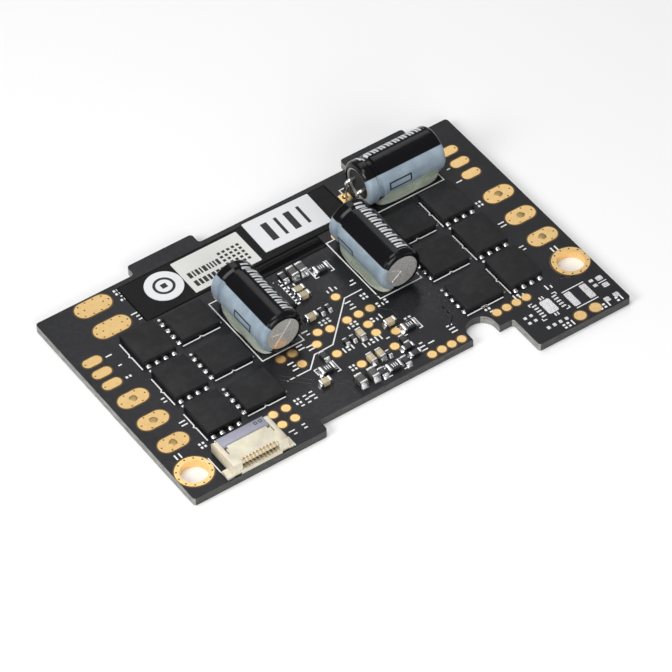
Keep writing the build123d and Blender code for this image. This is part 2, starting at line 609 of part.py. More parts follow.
def chip_caps(size):
    """End caps, a little proud of the body, with a low solder fillet outside each."""
    length, width, height, cap = size
    outer = length / 2
    inner = outer - cap + CHIP_CAP_GAP
    proud = width / 2 + GAP
    metal = block(inner, outer, -proud, proud, 0, height + GAP)
    toe = [
        (outer, 0), (outer + TOE_REACH, 0), (outer + TOE_SHOULDER, height * TOE_SHOULDER_SHARE),
        (outer, height * TOE_TOP_SHARE),
    ]
    face = Plane.XZ * make_face(Polyline(*toe, close=True))
    solder = Pos(0, -width / 2 + 2 * GAP, 0) * extrude(face, width - 4 * GAP, dir=(0, 1, 0))
    end_cap = metal + solder
    return [end_cap, Rot(0, 0, 180) * end_cap]


def placed(shape, places):
    return [Location((x, y, TOP), (0, 0, turn)) * shape for x, y, turn in places]


CHIP_FAMILIES = {
    "ceramic_capacitors": [(MLCC_SIZE, MLCC_POS)],
    "ferrite_beads": [(BEAD_SIZE, BEAD_POS)],
    "chip_resistors": [(CHIP_SIZE, CHIP_POS), (SMALL_CHIP_SIZE, SMALL_CHIP_POS)],
    "sense_resistors": [(SENSE_SIZE, SENSE_POS)],
}


def package_body(spec):
    x, y, width, depth, height = spec
    body = Pos(0, 0, (height + PACKAGE_STANDOFF) / 2) * Box(width, depth, height - PACKAGE_STANDOFF)
    body = chamfer(top_edges(body), PACKAGE_CHAMFER)
    corner = Pos(-width / 2 + DIMPLE_INSET, depth / 2 - DIMPLE_INSET, height)
    return Pos(x, y, TOP) * (body - corner * Cylinder(DIMPLE_R, 2 * DIMPLE_DEPTH))


def gull_lead(start, height, width):
    """Gull-wing lead in the XZ plane, leaving at mid height towards +X."""
    mid = height / 2
    shoulder = start + GULL_SHOULDER
    ankle = start + GULL_ANKLE
    tip = start + GULL_REACH
    points = [
        (start, mid), (shoulder, mid), (ankle, GULL_FOOT_T), (tip, GULL_FOOT_T), (tip, 0),
        (ankle - OVERLAP, 0), (shoulder - OVERLAP, mid - GULL_T), (start, mid - GULL_T),
    ]
    face = Plane.XZ * make_face(Polyline(*points, close=True))
    return Pos(0, -width / 2, 0) * extrude(face, width, dir=(0, 1, 0))


def side_leads(spec, count, pitch, lead_width):
    """A row of leads down each long side of a package."""
    x, y, width, _, height = spec
    lead = gull_lead(width / 2 + GAP / 2, height, lead_width)
    row = [Pos(0, (i - (count - 1) / 2) * pitch, 0) * lead for i in range(count)]
    row += [Rot(0, 0, 180) * one for one in row]
    return [Pos(x, y, TOP) * one for one in row]


# ---------------------------------------------------------------- write every sub-part
save("circuit_board", [circuit_board()])
save("mounting_eyelets", [mounting_eyelet(x, y) for x, y in EYELET_POS])
save("battery_pads", [slot_pad(x, y, BATTERY_PAD, battery_vias()) for x, y in BATTERY_POS])

LEFT_MOTOR_PADS = column(LEFT_MOTOR_X, LEFT_MOTOR_Y, LEFT_MOTOR_PITCH, 3)
RIGHT_MOTOR_PADS = column(RIGHT_MOTOR_X, RIGHT_MOTOR_Y, RIGHT_MOTOR_PITCH, 3)
save("left_motor_pads", [slot_pad(x, y, MOTOR_PAD, motor_vias()) for x, y in LEFT_MOTOR_PADS])
save("right_motor_pads", [slot_pad(x, y, MOTOR_PAD, motor_vias()) for x, y in RIGHT_MOTOR_PADS])

LEFT_SIGNAL_PADS = column(LEFT_SIGNAL_X, LEFT_SIGNAL_Y, LEFT_SIGNAL_PITCH, 3)
RIGHT_SIGNAL_PADS = column(RIGHT_SIGNAL_X, RIGHT_SIGNAL_Y, RIGHT_SIGNAL_PITCH, 3)
save("left_signal_pads", [signal_pad(x, y, -1) for x, y in LEFT_SIGNAL_PADS])
save("right_signal_pads", [signal_pad(x, y, 1) for x, y in RIGHT_SIGNAL_PADS])

save("test_pads", test_pads())
save("capacitor_lead_pads", lead_pads())
save("capacitor_solder_joints", solder_joints())
save("bare_footprints", bare_footprints())

for column_name in FET_COLUMNS:
    places = fet_places(column_name)
    for row, place in enumerate(places):
        save(f"{column_name}_mosfet_{row + 1}", [place * fet_body()])
    save(f"{column_name}_mosfet_leads", [place * lead for place in places for lead in fet_leads()])

for number, cap in enumerate(CAPACITORS, start=1):
    place = capacitor_place(cap)
    save(f"capacitor_{number}_can", [place * capacitor_can()])
    save(f"capacitor_{number}_sleeve", [place * capacitor_sleeve()])
    save(f"capacitor_{number}_bung", [place * capacitor_bung()])
    save(f"capacitor_{number}_winding", [place * capacitor_winding()])
    save(f"capacitor_{number}_leads", [place * wire for wire in capacitor_leads(cap)])

save("capacitor_adhesive", [capacitor_place(cap) * glue_bead(cap) for cap in CAPACITORS])

save("ffc_housing", [ffc_housing()])
save("ffc_contacts", ffc_contacts())
save("ffc_hold_downs", ffc_hold_downs())
save("ffc_latch", [ffc_latch()])

tape_top = TOP + TAPE_T
tape, patch = [block(*stretch, TOP, tape_top) for stretch in TAPE]
save("insulating_tape", [tape + patch])
for name, label in (("serial_label", SERIAL_LABEL), ("side_label", SIDE_LABEL)):
    x, y, width, depth, turn = label
    paper = extrude(RectangleRounded(width, depth, LABEL_CORNER_R), LABEL_T)
    save(name, [Location((x, y, tape_top), (0, 0, turn)) * paper])
x, y, radius = ROUND_LABEL
save("round_label", [disc(x, y, tape_top, tape_top + LABEL_T, radius)])

terminals = []
for name, groups in CHIP_FAMILIES.items():
    bodies = []
    for size, places in groups:
        bodies += placed(chip_body(size), places)
        for cap in chip_caps(size):
            terminals += placed(cap, places)
    save(name, bodies)
save("chip_terminals", terminals)

save("controller_ic", [package_body(CONTROLLER)])
save("controller_ic_leads", side_leads(CONTROLLER, CONTROLLER_LEADS, CONTROLLER_PITCH, CONTROLLER_LEAD_W))
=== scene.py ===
import math
import random

import bmesh
import bpy
from mathutils import Matrix, Vector, noise


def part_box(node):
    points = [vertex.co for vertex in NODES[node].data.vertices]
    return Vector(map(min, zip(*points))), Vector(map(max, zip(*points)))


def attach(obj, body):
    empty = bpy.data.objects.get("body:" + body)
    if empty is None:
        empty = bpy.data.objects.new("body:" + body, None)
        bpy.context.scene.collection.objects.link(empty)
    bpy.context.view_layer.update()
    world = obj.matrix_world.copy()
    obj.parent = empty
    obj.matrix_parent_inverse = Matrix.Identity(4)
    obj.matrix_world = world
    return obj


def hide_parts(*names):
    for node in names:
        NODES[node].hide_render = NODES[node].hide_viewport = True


# Electronic speed controller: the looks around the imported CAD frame.
# Helpers take millimetres in the row's frame; meshes are stored in metres.

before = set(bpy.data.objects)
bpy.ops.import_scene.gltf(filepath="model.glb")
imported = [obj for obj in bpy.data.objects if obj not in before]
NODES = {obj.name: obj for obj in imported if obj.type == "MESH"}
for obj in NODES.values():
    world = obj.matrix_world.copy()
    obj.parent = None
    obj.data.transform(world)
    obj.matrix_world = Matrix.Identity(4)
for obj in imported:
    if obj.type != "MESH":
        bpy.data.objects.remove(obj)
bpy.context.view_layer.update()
MM = 0.001
BOARD = "board"
LATCH = "latch"


def node_box(name):
    """Lowest and highest corner of a CAD node, in millimetres."""
    low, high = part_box(name)
    return low / MM, high / MM


TOP = node_box("circuit_board")[1].z  # component side of the board
LACQUERED = (((9.3, -5.6), 3.2), ((-9.0, -13.4), 3.4), ((2.6, 3.6), 1.9))  # glossy patches: centre and reach
INK_T = 0.012  # printed ink stands this far up


# ------------ reading the frame
def islands(name):
    """The boxes of a node's separate solids, in millimetres, sorted from front to back and left to right."""
    mesh = NODES[name].data
    owner = {}

    def root(key):
        while owner[key] != key:
            owner[key] = owner[owner[key]]
            key = owner[key]
        return key

    keys = [tuple(round(c / MM, 4) for c in v.co) for v in mesh.vertices]
    for key in keys:
        owner.setdefault(key, key)
    for face in mesh.polygons:
        first = root(keys[face.vertices[0]])
        for index in face.vertices[1:]:
            owner[root(keys[index])] = first
    groups = {}
    for key in owner:
        groups.setdefault(root(key), []).append(key)
    boxes = []
    for points in groups.values():
        low = Vector(min(p[i] for p in points) for i in range(3))
        high = Vector(max(p[i] for p in points) for i in range(3))
        boxes.append((low, high))
    return sorted(boxes, key=lambda b: (round(b[0].y, 2), round(b[0].x, 2)))


def middle(box):
    return (box[0] + box[1]) / 2


def extent(box):
    return box[1] - box[0]


# ------------ materials
class Look:
    """A node material in the making. Every pattern reads the row frame's millimetres."""

    def __init__(self, name, color, roughness, metallic=0.0):
        self.material = bpy.data.materials.new(name)
        self.material.use_nodes = True
        self.tree = self.material.node_tree
        self.shader = self.tree.nodes["Principled BSDF"]
        self.set(Base_Color=(*color, 1), Roughness=roughness, Metallic=metallic)
        coordinates = self.tree.nodes.new("ShaderNodeTexCoord")
        scale = self.tree.nodes.new("ShaderNodeVectorMath")
        scale.operation = "SCALE"
        scale.inputs["Scale"].default_value = 1 / MM
        self.tree.links.new(coordinates.outputs["Object"], scale.inputs[0])
        self.place = scale.outputs[0]
        self.normal = coordinates.outputs["Normal"]
        self.height = None

    def set(self, **values):
        for key, value in values.items():
            self.shader.inputs[key.replace("_", " ")].default_value = value
        return self

    def join(self, value, socket):
        if isinstance(value, (int, float, tuple)):
            socket.default_value = value
        else:
            self.tree.links.new(value, socket)

    def math(self, operation, a, b=0.0, clamp=False):
        node = self.tree.nodes.new("ShaderNodeMath")
        node.operation = operation
        node.use_clamp = clamp
        self.join(a, node.inputs[0])
        self.join(b, node.inputs[1])
        return node.outputs[0]

    def axes(self, vector):
        node = self.tree.nodes.new("ShaderNodeSeparateXYZ")
        self.join(vector, node.inputs[0])
        return node.outputs

    def stretch(self, factors):
        node = self.tree.nodes.new("ShaderNodeVectorMath")
        node.operation = "MULTIPLY"
        self.join(self.place, node.inputs[0])
        node.inputs[1].default_value = factors
        return node.outputs[0]

    def noise(self, per_mm, detail=3.0, rough=0.5, vector=None):
        node = self.tree.nodes.new("ShaderNodeTexNoise")
        self.join(self.place if vector is None else vector, node.inputs["Vector"])
        node.inputs["Scale"].default_value = per_mm
        node.inputs["Detail"].default_value = detail
        node.inputs["Roughness"].default_value = rough
        return node.outputs["Fac"]

    def cells(self, per_mm, vector=None):
        node = self.tree.nodes.new("ShaderNodeTexVoronoi")
        self.join(self.place if vector is None else vector, node.inputs["Vector"])
        node.inputs["Scale"].default_value = per_mm
        return node.outputs["Distance"]

    def ramp(self, value, low, high, out_low=0.0, out_high=1.0):
        node = self.tree.nodes.new("ShaderNodeMapRange")
        self.join(value, node.inputs["Value"])
        for key, number in (("From Min", low), ("From Max", high), ("To Min", out_low), ("To Max", out_high)):
            node.inputs[key].default_value = number
        return node.outputs["Result"]

    def blend(self, amount, a, b):
        node = self.tree.nodes.new("ShaderNodeMix")
        node.data_type = "RGBA"
        self.join(amount, node.inputs["Factor"])
        for value, socket in ((a, node.inputs[6]), (b, node.inputs[7])):
            self.join((*value, 1) if isinstance(value, tuple) else value, socket)
        return node.outputs[2]

    def color(self, value):
        self.tree.links.new(value, self.shader.inputs["Base Color"])
        return self

    def roughness(self, value):
        self.tree.links.new(value, self.shader.inputs["Roughness"])
        return self

    def bump(self, height, depth_mm, strength=1.0):
        """One more layer of relief, depth_mm deep where height goes from 0 to 1."""
        node = self.tree.nodes.new("ShaderNodeBump")
        node.inputs["Strength"].default_value = strength
        node.inputs["Distance"].default_value = depth_mm * MM
        self.tree.links.new(height, node.inputs["Height"])
        if self.height:
            self.tree.links.new(self.height, node.inputs["Normal"])
        self.height = node.outputs["Normal"]
        self.tree.links.new(self.height, self.shader.inputs["Normal"])
        return self


def board_look():
    """Black solder mask, a little uneven, with woven grey glass fibre on the cut edges; the cut edges facing
    left are painted much paler, as painted light from the left.
    """
    look = Look("solder_mask", (0.007, 0.007, 0.009), 0.36)
    look.set(Specular_IOR_Level=0.3)
    cloud = look.noise(0.35, 4)
    grain = look.noise(9, 2)
    mask = look.blend(look.ramp(cloud, 0.3, 0.7), (0.006, 0.0062, 0.0078), (0.01, 0.0104, 0.0125))
    mask = look.blend(look.ramp(grain, 0.45, 0.8, 0, 0.3), mask, (0.022, 0.022, 0.026))
    plies = look.noise(1.0, 2, 0.6, look.stretch((0.8, 0.8, 14)))
    fibre = look.noise(1.0, 4, 0.7, look.stretch((7, 7, 1.2)))
    facing = look.axes(look.normal)
    # Cut edges facing left get a much paler grey: painted light from the lamp on the left, not the laminate's
    # own colour.
    left = look.math("LESS_THAN", facing[0], -0.5)
    edge = look.blend(look.ramp(plies, 0.35, 0.65), (0.028, 0.028, 0.028), (0.085, 0.085, 0.082))
    pale = look.blend(look.ramp(plies, 0.35, 0.65), (0.12, 0.12, 0.115), (0.4, 0.4, 0.38))
    edge = look.blend(look.ramp(fibre, 0.4, 0.7, 0, 0.5), edge, (0.1, 0.1, 0.098))
    edge = look.blend(left, edge, pale)
    side = look.math("LESS_THAN", look.math("ABSOLUTE", facing[2]), 0.5)
    look.color(look.blend(side, mask, edge))
    wear = look.ramp(look.noise(1.6, 3), 0.3, 0.7, 0.3, 0.44)
    x, y, _ = look.axes(look.place)
    for place, reach in LACQUERED:
        dx = look.math("POWER", look.math("SUBTRACT", x, place[0]), 2.0)
        dy = look.math("POWER", look.math("SUBTRACT", y, place[1]), 2.0)
        near = look.math("ADD", look.math("ADD", dx, dy), look.math("MULTIPLY", cloud, reach * reach * 0.8))
        wet = look.ramp(near, reach * reach * 2.4, reach * reach * 0.3)
        wear = look.math("SUBTRACT", wear, look.math("MULTIPLY", wet, 0.12))
    look.roughness(look.math("ADD", wear, look.math("MULTIPLY", side, 0.35)))
    look.bump(look.noise(1.3, 3), 0.003).bump(grain, 0.002)
    return look.material


def gold_look(name, rough=0.34, tint=1.0):
    """Immersion gold: fine crystalline grain and slightly uneven tone."""
    look = Look(name, (0.9, 0.62, 0.26), rough, 1.0)
    grain = look.noise(7, 4, 0.65)
    cloud = look.noise(0.9, 3)
    warm = tuple(c * tint for c in (0.87, 0.54, 0.18))
    pale = tuple(min(1, c * tint) for c in (0.95, 0.71, 0.37))
    tone = look.blend(look.ramp(grain, 0.35, 0.7), warm, pale)
    look.color(look.blend(look.ramp(cloud, 0.35, 0.75, 0, 0.5), tone, pale))
    look.roughness(look.ramp(grain, 0.3, 0.7, rough - 0.06, rough + 0.12))
    look.bump(grain, 0.012).bump(look.cells(5), 0.006)
    return look.material


def solder_look():
    """Bright tin with a soft frosted grain."""
    look = Look("solder", (0.8, 0.8, 0.81), 0.24, 1.0)
    grain = look.noise(6, 3, 0.6)
    look.color(look.blend(look.ramp(grain, 0.35, 0.7), (0.7, 0.7, 0.71), (0.92, 0.92, 0.93)))
    look.roughness(look.ramp(grain, 0.3, 0.7, 0.2, 0.36))
    look.bump(grain, 0.008)
    return look.material


def mould_look(name, color, rough=0.55):
    """Epoxy moulding compound: fine matte filler grain and faint rubbed patches."""
    look = Look(name, color, rough)
    look.set(Specular_IOR_Level=0.26)
    grain = look.noise(14, 2, 0.6)
    patch = look.noise(0.7, 4)
    pale = tuple(c * 1.7 + 0.004 for c in color)
    tone = look.blend(look.ramp(grain, 0.4, 0.75), color, pale)
    look.color(look.blend(look.ramp(patch, 0.45, 0.75, 0, 0.6), tone, pale))
    look.roughness(look.ramp(patch, 0.35, 0.7, rough + 0.08, rough - 0.1))
    look.bump(grain, 0.012).bump(look.noise(3, 3), 0.015)
    return look.material


def can_look(name, painted_reflection):
    """Drawn aluminium with a hammered bare end; the optional second argument paints a warm reflection on its
    lower side.
    """
    look = Look(name, (0.74, 0.73, 0.7), 0.36, 0.55)
    grain = look.noise(4.5, 4, 0.7)
    cloud = look.noise(0.8, 3)
    tone = look.blend(look.ramp(grain, 0.3, 0.75), (0.42, 0.41, 0.39), (0.9, 0.89, 0.86))
    # Painted reflection: a warm tint blended in round a point low on the bare end.
    if painted_reflection:
        centre, radius, color = painted_reflection
        x, _, z = look.axes(look.place)
        dx = look.math("SUBTRACT", x, centre[0])
        dz = look.math("SUBTRACT", z, centre[1])
        reach = look.math("ADD", look.math("POWER", dx, 2.0), look.math("POWER", dz, 2.0))
        reach = look.math("ADD", reach, look.math("MULTIPLY", cloud, radius * radius))
        tone = look.blend(look.ramp(reach, radius * radius * 1.6, radius * radius * 0.3), tone, color)
    look.color(tone)
    look.roughness(look.ramp(cloud, 0.3, 0.7, 0.3, 0.46))
    look.bump(grain, 0.03).bump(look.noise(1.1, 2), 0.03)
    return look.material


STRIPE = (134, 226)  # degrees round the can from +X (or +Y), where the pale stripe lies
WINDOW = (163, 186)  # and the dark outline on it
WINDOW_LINE, WINDOW_LINE_DEGREES = 0.23, 4.2  # thickness of that outline, in mm and round the can
DASH_BAND = (42, 74)
SHORT_DASH_TRIM = 9  # degrees that a short dash leaves out
DASH_PITCH = 1.12
LONG_DASH, SHORT_DASH = (0.12, 0.42), (0.55, 0.82)  # shares of the pitch
FILM_BLACK = (0.003, 0.003, 0.004)


def sleeve_look(name, node, along, turn, window, far_end_high):
    """Glossy black film with a pale blue stripe, a thin dark window on it and a row of plain white dashes.

    along is the axis the can lies on, turn moves the print round it, window is where the dark outline
    starts and ends from the closed end, in millimetres."""
    look = Look(name, FILM_BLACK, 0.14)
    look.set(Coat_Weight=0.12, Coat_Roughness=0.12, Specular_IOR_Level=0.22)
    box = node_box(node)
    centre = middle(box)
    x, y, z = look.axes(look.place)
    run, across = (y, x) if along == "y" else (x, y)
    across_centre = centre.x if along == "y" else centre.y
    rise = look.math("SUBTRACT", z, centre.z)
    angle = look.math("ARCTAN2", rise, look.math("SUBTRACT", across, across_centre))
    degrees = look.math("MULTIPLY", angle, 180 / math.pi)
    degrees = look.math("MODULO", look.math("ADD", degrees, 360 - turn), 360.0)
    index = 1 if along == "y" else 0
    if far_end_high:
        distance = look.math("SUBTRACT", run, box[0][index])
    else:
        distance = look.math("SUBTRACT", box[1][index], run)

    def between(value, low, high, soft):
        rise = look.ramp(value, low - soft, low + soft)
        fall = look.ramp(value, high - soft, high + soft, 1, 0)
        return look.math("MULTIPLY", rise, fall, clamp=True)

    stripe = between(degrees, STRIPE[0], STRIPE[1], 0.9)
    sheen = look.noise(0.5, 4)
    fine = look.noise(12, 2)
    blue = look.blend(look.ramp(sheen, 0.35, 0.7), (0.19, 0.25, 0.31), (0.3, 0.37, 0.43))
    blue = look.blend(look.ramp(fine, 0.35, 0.75, 0, 0.4), blue, (0.42, 0.49, 0.54))
    tone = look.blend(stripe, FILM_BLACK, blue)
    outer = look.math("MULTIPLY", between(degrees, *WINDOW, 0.5), between(distance, *window, 0.03))
    inner_span = (WINDOW[0] + WINDOW_LINE_DEGREES, WINDOW[1] - WINDOW_LINE_DEGREES)
    inner_run = (window[0] + WINDOW_LINE, window[1] - WINDOW_LINE)
    inner = look.math("MULTIPLY", between(degrees, *inner_span, 0.5), between(distance, *inner_run, 0.03))
    outline = look.math("SUBTRACT", outer, inner, clamp=True)
    tone = look.blend(outline, tone, (0.012, 0.02, 0.045))
    beat = look.math("FRACT", look.math("DIVIDE", distance, DASH_PITCH))
    short_band = (DASH_BAND[0] + SHORT_DASH_TRIM, DASH_BAND[1])
    long = look.math("MULTIPLY", between(beat, *LONG_DASH, 0.03), between(degrees, *DASH_BAND, 1.0))
    short = look.math("MULTIPLY", between(beat, *SHORT_DASH, 0.03), between(degrees, *short_band, 1.0))
    print_run = between(distance, 0.9, extent(box)[index] - 1.0, 0.05)
    dashes = look.math("MULTIPLY", look.math("ADD", long, short, clamp=True), print_run)
    look.color(look.blend(dashes, tone, (0.62, 0.64, 0.66)))
    gloss = look.ramp(sheen, 0.3, 0.7, 0.12, 0.2)
    look.roughness(look.math("ADD", gloss, look.math("MULTIPLY", stripe, 0.16)))
    look.bump(look.noise(1.1, 3), 0.012).bump(look.noise(5, 3), 0.003)
    return look.material


def plastic_look(name, color, rough, depth=0.008):
    look = Look(name, color, rough)
    grain = look.noise(8, 3)
    cloud = look.noise(0.6, 3)
    dark = tuple(c * 0.86 for c in color)
    pale = tuple(min(1, c * 1.06) for c in color)
    tone = look.blend(look.ramp(cloud, 0.3, 0.7), dark, pale)
    look.color(look.blend(look.ramp(grain, 0.4, 0.75, 0, 0.4), tone, pale))
    look.roughness(look.ramp(cloud, 0.3, 0.7, rough - 0.06, rough + 0.08))
    look.bump(grain, depth)
    return look


def connector_look():
    look = plastic_look("connector_nylon", (0.66, 0.61, 0.48), 0.42)
    look.set(Subsurface_Weight=0.25, Subsurface_Scale=0.4 * MM)
    return look.material


def tape_look():
    look = Look("tape_film", (0.003, 0.003, 0.0035), 0.2)
    look.set(Specular_IOR_Level=0.1)
    ripple = look.noise(0.55, 3, 0.5, look.stretch((0.35, 1.3, 1)))
    dust = look.noise(10, 3)
    look.color(look.blend(look.ramp(dust, 0.5, 0.8, 0, 0.5), (0.003, 0.003, 0.0035), (0.013, 0.013, 0.014)))
    look.roughness(look.ramp(look.noise(0.8, 4), 0.3, 0.7, 0.1, 0.24))
    look.bump(ripple, 0.05).bump(look.noise(2.2, 3), 0.012)
    return look.material


def paper_look(name, color):
    look = Look(name, color, 0.55)
    fibre = look.noise(11, 4, 0.7)
    cloud = look.noise(0.5, 3)
    dark = tuple(c * 0.9 for c in color)
    look.color(look.blend(look.ramp(fibre, 0.35, 0.75), dark, color))
    look.roughness(look.ramp(cloud, 0.3, 0.7, 0.45, 0.62))
    look.bump(fibre, 0.006)
    return look.material


def adhesive_look():
    """Cloudy grey-green adhesive: part clear, wet-looking, uneven inside, with a painted highlight low along
    its toe.
    """
    look = Look("adhesive", (0.6, 0.65, 0.5), 0.2)
    cloud = look.noise(0.45, 4)
    fine = look.noise(2.5, 3)
    tone = look.blend(look.ramp(cloud, 0.35, 0.68), (0.4, 0.45, 0.35), (0.7, 0.74, 0.64))
    # Paler low on the board and darker up the can's wall: a painted highlight along the toe.
    rise = look.axes(look.place)[2]
    tone = look.blend(look.ramp(rise, TOP + 0.5, TOP + 2.3, 0, 0.75), tone, (0.13, 0.17, 0.13))
    look.color(look.blend(look.ramp(fine, 0.45, 0.75, 0, 0.15), tone, (0.6, 0.64, 0.53)))
    look.set(IOR=1.45, Coat_Weight=0.5)
    look.roughness(look.ramp(fine, 0.3, 0.7, 0.14, 0.26))
    look.bump(look.noise(0.8, 2), 0.02)
    return look.material


def ceramic_look(name, color, rough):
    look = Look(name, color, rough)
    grain = look.noise(10, 3)
    cloud = look.noise(1.4, 2)
    dark = tuple(c * 0.75 for c in color)
    look.color(look.blend(look.ramp(look.math("ADD", grain, cloud), 0.7, 1.3), dark, color))
    look.roughness(look.ramp(cloud, 0.3, 0.7, rough - 0.05, rough + 0.1))
    look.bump(grain, 0.008)
    return look.material


def ink_look(name, color):
    look = Look(name, color, 0.5)
    grain = look.noise(14, 3)
    dark = tuple(c * 0.8 for c in color)
    look.color(look.blend(look.ramp(grain, 0.4, 0.7), color, dark))
    look.roughness(look.ramp(grain, 0.3, 0.7, 0.42, 0.6))
    look.bump(grain, 0.004)
    return look.material


MASK = board_look()
GOLD = gold_look("gold_plate")
# A darker, rougher copy of the gold plate for the left-hand pads: painted shade that tones down the stronger
# reflection of the left lamp there.
SHADED_GOLD = gold_look("gold_plate_painted_shade", 0.4, 0.86)
BRONZE = gold_look("flux_darkened_gold", 0.42, 0.5)
CONTACT_GOLD = gold_look("contact_gold", 0.4, 0.72)
SOLDER = solder_look()
MOULD = mould_look("mould_compound", (0.009, 0.009, 0.01))
GLOSS_MOULD = mould_look("ic_compound", (0.022, 0.022, 0.025), 0.4)
BUNG = plastic_look("rubber_bung", (0.02, 0.02, 0.02), 0.7).material
WINDING = paper_look("foil_winding", (0.55, 0.53, 0.48))
WIRE = solder_look()
WIRE.name = "tinned_wire"
NYLON = connector_look()
LATCH_NYLON = plastic_look("latch_nylon", (0.3, 0.3, 0.37), 0.38, 0.014).material
# Darker nylon for the latch's moulded marks: painted shade standing in for the shading of these low ridges.
LATCH_MARK_PAINTED_SHADE = plastic_look("latch_mark", (0.075, 0.075, 0.1), 0.5).material
TAPE = tape_look()
PAPER = paper_look("label_paper", (0.74, 0.745, 0.76))
WARM_PAPER = paper_look("warm_label_paper", (0.7, 0.7, 0.67))
GLUE = adhesive_look()
BEIGE = ceramic_look("beige_ceramic", (0.56, 0.47, 0.3), 0.4)
FERRITE = ceramic_look("ferrite", (0.1, 0.096, 0.09), 0.45)
RESISTOR = ceramic_look("resistor_glaze", (0.022, 0.022, 0.026), 0.3)
WHITE_INK = ink_look("white_ink", (0.8, 0.8, 0.8))
BLACK_INK = ink_look("black_ink", (0.012, 0.012, 0.013))
HALO = ink_look("bare_laminate", (0.1, 0.052, 0.012))


# ------------ mesh making
class Shape:
    """Closed solids gathered into one mesh, in millimetres."""

    def __init__(self):
        self.points = []
        self.faces = []

    def add(self, points, faces):
        start = len(self.points)
        self.points += [Vector(p) for p in points]
        self.faces += [[start + i for i in face] for face in faces]

    def prism(self, outline, low, high):
        """A plate from an anticlockwise outline of (x, y) points."""
        n = len(outline)
        points = [(x, y, low) for x, y in outline] + [(x, y, high) for x, y in outline]
        sides = [[i, (i + 1) % n, n + (i + 1) % n, n + i] for i in range(n)]
        self.add(points, [list(range(n))[::-1], list(range(n, 2 * n))] + sides)

    def band(self, outer, inner, low, high):
        """A closed loop of flat band between two outlines with as many points."""
        n = len(outer)
        loops = [[(x, y, z) for x, y in line] for z in (low, high) for line in (outer, inner)]
        points = [p for loop in loops for p in loop]
        faces = []
        for i in range(n):
            j = (i + 1) % n
            bottom_out, bottom_in, top_out, top_in = (k * n for k in range(4))
            faces.append([bottom_out + i, bottom_in + i, bottom_in + j, bottom_out + j])
            faces.append([top_out + i, top_out + j, top_in + j, top_in + i])
            faces.append([bottom_out + i, bottom_out + j, top_out + j, top_out + i])
            faces.append([bottom_in + i, top_in + i, top_in + j, bottom_in + j])
        self.add(points, faces)

    def line(self, path, width, low, high, closed=False):
        """A printed line of even width with mitred corners."""
        n = len(path)
        left, right = [], []
        for i, point in enumerate(path):
            here = Vector(point)
            before = Vector(path[i - 1]) if closed or i else None
            after = Vector(path[(i + 1) % n]) if closed or i < n - 1 else None
            into = (here - before).normalized() if before else (after - here).normalized()
            out = (after - here).normalized() if after else into
            tangent = (into + out).normalized()
            across = Vector((-tangent.y, tangent.x)) * (width / 2 / max(0.3, tangent.dot(into)))
            left.append(tuple(here + across))
            right.append(tuple(here - across))
        if closed:
            self.band(right, left, low, high)
        else:
            self.prism(right + left[::-1], low, high)

    def disc(self, x, y, radius, low, high, steps=24):
        self.prism(circle(x, y, radius, steps), low, high)

    def rectangle(self, x, y, width, depth, low, high, turn=0.0):
        self.prism(turned_box(x, y, width, depth, turn), low, high)

    def piece(self, name, material, body=BOARD, smooth=False):
        mesh = bpy.data.meshes.new(name)
        mesh.from_pydata([p * MM for p in self.points], [], self.faces)
        mesh.materials.append(material)
        tidy = bmesh.new()
        tidy.from_mesh(mesh)
        bmesh.ops.recalc_face_normals(tidy, faces=tidy.faces)
        tidy.to_mesh(mesh)
        tidy.free()
        if smooth:
            mesh.shade_smooth()
        made = bpy.data.objects.new(name, mesh)
        bpy.context.scene.collection.objects.link(made)
        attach(made, body)
        return made


def circle(x, y, radius, steps=24):
    turns = [2 * math.pi * i / steps for i in range(steps)]
    return [(x + radius * math.cos(a), y + radius * math.sin(a)) for a in turns]


def turned_box(x, y, width, depth, turn=0.0):
    c, s = math.cos(math.radians(turn)), math.sin(math.radians(turn))
    half_w, half_d = width / 2, depth / 2
    corners = [(-half_w, -half_d), (half_w, -half_d), (half_w, half_d), (-half_w, half_d)]
    return [(x + u * c - v * s, y + u * s + v * c) for u, v in corners]


def stadium(box, grow, steps=10):
    """The outline of a round-ended pad with this box, grown on all sides."""
    centre, size = middle(box), extent(box)
    width, depth = size.x + 2 * grow, size.y + 2 * grow
    radius = min(width, depth) / 2
    reach = max(width, depth) / 2 - radius
    points = []
    for end, start in ((1, -90), (-1, 90)):
        for i in range(steps + 1):
            a = math.radians(start + 180 * i / steps)
            points.append((end * reach + radius * math.cos(a), radius * math.sin(a)))
    if depth > width:
        points = [(-v, u) for u, v in points]
    return [(centre.x + u, centre.y + v) for u, v in points]


def height_field(columns, rows, place):
    """Points and faces of a closed sheet. place(i, j, top) is a grid point of its under side or its top."""
    points = [place(i, j, top) for top in (False, True) for j in range(rows + 1) for i in range(columns + 1)]
    span = columns + 1
    layer = span * (rows + 1)
    faces = []
    for j in range(rows):
        for i in range(columns):
            a = j * span + i
            faces.append([a, a + span, a + span + 1, a + 1])
            faces.append([layer + a, layer + a + 1, layer + a + span + 1, layer + a + span])
    rim = list(range(span)) + [j * span + columns for j in range(1, rows + 1)]
    rim += [rows * span + i for i in range(columns - 1, -1, -1)] + [j * span for j in range(rows - 1, 0, -1)]
    for a, b in zip(rim, rim[1:] + rim[:1]):
        faces.append([a, b, layer + b, layer + a])
    return points, faces


BEVEL_FROM = 28  # degrees: flatter edges are left alone


def soften(node, width):
    """Rounds a CAD node's hard edges by a modifier: its mesh stays as it is."""
    made = NODES[node]
    weld = made.modifiers.new("weld", "WELD")
    weld.merge_threshold = 1e-6
    bevel = made.modifiers.new("bevel", "BEVEL")
    bevel.width = width * MM
    bevel.segments = 2
    bevel.limit_method = "ANGLE"
    bevel.angle_limit = math.radians(BEVEL_FROM)
    bevel.harden_normals = True
    made.data.shade_smooth()


def dress(material, *names):
    for name in names:
        slots = NODES[name].data.materials
        slots.clear()
        slots.append(material)


